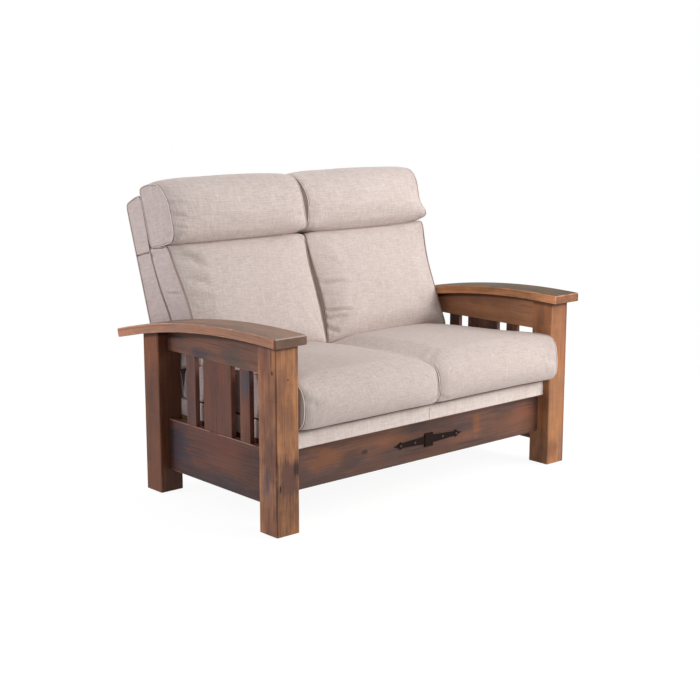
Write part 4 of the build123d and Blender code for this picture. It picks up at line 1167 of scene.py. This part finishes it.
def slab(name, low, high, counts, swell, seed):
    """Thin pad: two sheets of a grid, apart by the thickness, waved by sines and closed round their rim."""
    x, y = np.meshgrid(*(np.linspace(low[i], high[i], counts[i] + 1) for i in (0, 1)), indexing="ij")
    rim = np.minimum(np.minimum(x - low[0], high[0] - x), np.minimum(y - low[1], high[1] - y))
    soft = 1 - np.exp(-rim / 0.006)
    wave = swell * np.sin(17 * x + seed) * np.sin(13 * y + 2 * seed)
    half = (high[2] - low[2]) / 2
    apart = half * (0.45 + 0.55 * soft) - swell
    layers = [(low[2] + high[2]) / 2 + way * apart + wave * soft for way in (-1, 1)]
    verts = np.concatenate([np.stack([x, y, z], 2).reshape(-1, 3) for z in layers])
    number = np.arange(x.size).reshape(x.shape)
    edge = np.concatenate([number[:-1, 0], number[-1, :-1], number[:0:-1, -1], number[0, :0:-1]])
    wall = np.stack([edge, np.roll(edge, -1), np.roll(edge, -1) + x.size, edge + x.size], 1)
    quads = np.concatenate([squares(number), squares(number) + x.size, wall])
    return cloth_mesh(name, verts, quads, verts[quads][..., :2])


def stretched(name, corner, across, along, counts, sag, way):
    """Sheet of one layer between four corners: a grid on two vectors that sags as the product of two arches."""
    s, t = np.meshgrid(*(np.linspace(0, 1, n + 1) for n in counts), indexing="ij")
    arch = (1 - (2 * s - 1) ** 2) * (1 - (2 * t - 1) ** 4)
    verts = corner + s[..., None] * across + t[..., None] * along + (sag * arch)[..., None] * way
    number = np.arange(s.size).reshape(s.shape)
    size = np.array([np.linalg.norm(across), np.linalg.norm(along)])
    return cloth_mesh(name, verts.reshape(-1, 3), squares(number), squares(np.stack([s, t], 2) * size))


PAD_SWELL = 0.0006
LINING_SAG = 0.0006
STRAP_SAG = 0.002
DOWN = np.array([0, 0, -1.0])

for side in SIDES:
    low, high = (np.array(corner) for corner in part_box(side + "_deck_pad"))
    pad = slab(side + "_felt_pad", low, high, (60, 64), PAD_SWELL, SIDES[side])
    stand_in(pad, felt, "frame", side + "_deck_pad")

    low, high = (np.array(corner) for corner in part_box(side + "_dust_cloth"))
    wide, deep, thick = np.diag(high - low)
    lined = stretched(side + "_black_lining", low + thick, wide, deep, (40, 40), LINING_SAG, DOWN)
    stand_in(lined, lining, "frame", side + "_dust_cloth")

    straps = coordinates(nodes[side + "_back_webbing"].data)
    ahead, up = back_measures(straps)
    x0, x1 = straps[:, 0].min(), straps[:, 0].max()
    for count, (foot, top) in enumerate(np.unique(np.round(up, 4)).reshape(-1, 2), 1):
        corner, tip = (point(back_place, 1000 * x0, 1000 * ahead.max(), 1000 * level) for level in (foot, top))
        band = stretched(
            "%s_back_strap_%d" % (side, count), corner, (x1 - x0) * SIDEWAYS, tip - corner, (60, 8), STRAP_SAG, -AHEAD
        )
        stand_in(band, webbing, "frame", side + "_back_webbing" if count == 1 else None)

# ---------------------------------------------------------------- floor, light and camera

AIR = 0.45  # strength of the soft light from all around
FLOOR_HALF = 30.0
FLOOR_LEVEL = -0.0005
WHITE = (1, 1, 1, 1)
WARM_WHITE = (1.0, 0.985, 0.965)


def stand(name, data, place, target):
    """Object of a lamp or a camera at a place, aimed at a target."""
    made = bpy.data.objects.new(name, data)
    scene.collection.objects.link(made)
    made.location = place
    made.rotation_euler = (Vector(target) - Vector(place)).to_track_quat("-Z", "Y").to_euler()
    return made


def seen(g):
    """1 for rays from the camera, off a gloss or through glass, 0 for the others."""
    path = g.node("ShaderNodeLightPath").outputs
    bent = g.math("MAXIMUM", path["Is Glossy Ray"], path["Is Transmission Ray"])
    return g.math("MAXIMUM", path["Is Camera Ray"], bent)


def make_floor():
    """Pale floor. The camera and reflections see it as white paper that still takes a soft shadow."""
    mesh = bpy.data.meshes.new("studio_floor")
    corners = [(x * FLOOR_HALF, y * FLOOR_HALF, FLOOR_LEVEL) for x, y in ((-1, -1), (1, -1), (1, 1), (-1, 1))]
    mesh.from_pydata(corners, [], [(0, 1, 2, 3)])
    floor = bpy.data.objects.new("studio_floor", mesh)
    scene.collection.objects.link(floor)
    material, g = new_material("studio_white")
    surface = g.node("ShaderNodeBsdfPrincipled", {
        "Base Color": (0.80, 0.80, 0.80, 1), "Roughness": 0.9, "Specular IOR Level": 0.0,
    })
    paper = g.node("ShaderNodeBsdfDiffuse", {"Color": (0.13, 0.13, 0.13, 1)})
    glow = g.node("ShaderNodeEmission", {"Color": WHITE, "Strength": 0.925})
    near = g.node("ShaderNodeAddShader", {0: paper.outputs[0], 1: glow.outputs[0]})
    white = g.node("ShaderNodeEmission", {"Color": WHITE, "Strength": 1.0})
    far = g.ramp(g.vector("LENGTH", g.object_place()), 1.2, 2.6)
    shown = g.node("ShaderNodeMixShader", {0: far, 1: near.outputs[0], 2: white.outputs[0]})
    show(g, g.node("ShaderNodeMixShader", {0: seen(g), 1: surface.outputs[0], 2: shown.outputs[0]}))
    floor.data.materials.append(material)


def make_world():
    """White for the camera and in reflections, soft light for everything else."""
    world = bpy.data.worlds.new("studio_air")
    scene.world = world
    world.use_nodes = True
    g = Graph(world.node_tree)
    back = g.node("ShaderNodeBackground", {"Color": WHITE, "Strength": g.total(AIR, (seen(g), 1 - AIR))})
    g.node("ShaderNodeOutputWorld", {"Surface": back.outputs[0]})


def make_camera():
    """The photograph's view, fitted to the posts, rails and arms."""
    data = bpy.data.cameras.new("photo_camera")
    data.sensor_width = 36.0
    data.lens = 70.55
    data.clip_end = 200.0
    scene.camera = stand("photo_camera", data, (-3.175, FRONT - 3.184, 1.388), (-0.059, FRONT + 0.363, 0.463))


make_floor()
make_world()
make_camera()
for name, place, target, size, power, colour in (
    ("key_light", (1.8, -2.7, 1.75), (0.1, 0, 0.5), (1.8, 1.5), 68, WARM_WHITE),
    ("right_light", (2.3, -1.5, 2.4), (0.4, 0.3, 0.6), (0.9, 0.9), 21, WARM_WHITE),
    ("top_light", (0.6, -0.4, 3.8), (0, 0, 0.4), (3.4, 3.0), 26, WHITE[:3]),
    ("left_fill", (-5.8, 3.0, 2.5), (0, 0, 0.5), (1.8, 1.8), 140, (1.0, 0.95, 1.02)),
    ("rear_fill", (0.5, 4.6, 2.6), (0, 0, 0.5), (3.0, 2.2), 40, WHITE[:3]),
):
    lamp = bpy.data.lights.new(name, "AREA")
    lamp.shape = "RECTANGLE"
    lamp.size, lamp.size_y = size
    lamp.energy = power
    lamp.color = colour
    stand(name, lamp, place, target)

scene.view_settings.view_transform = "Standard"
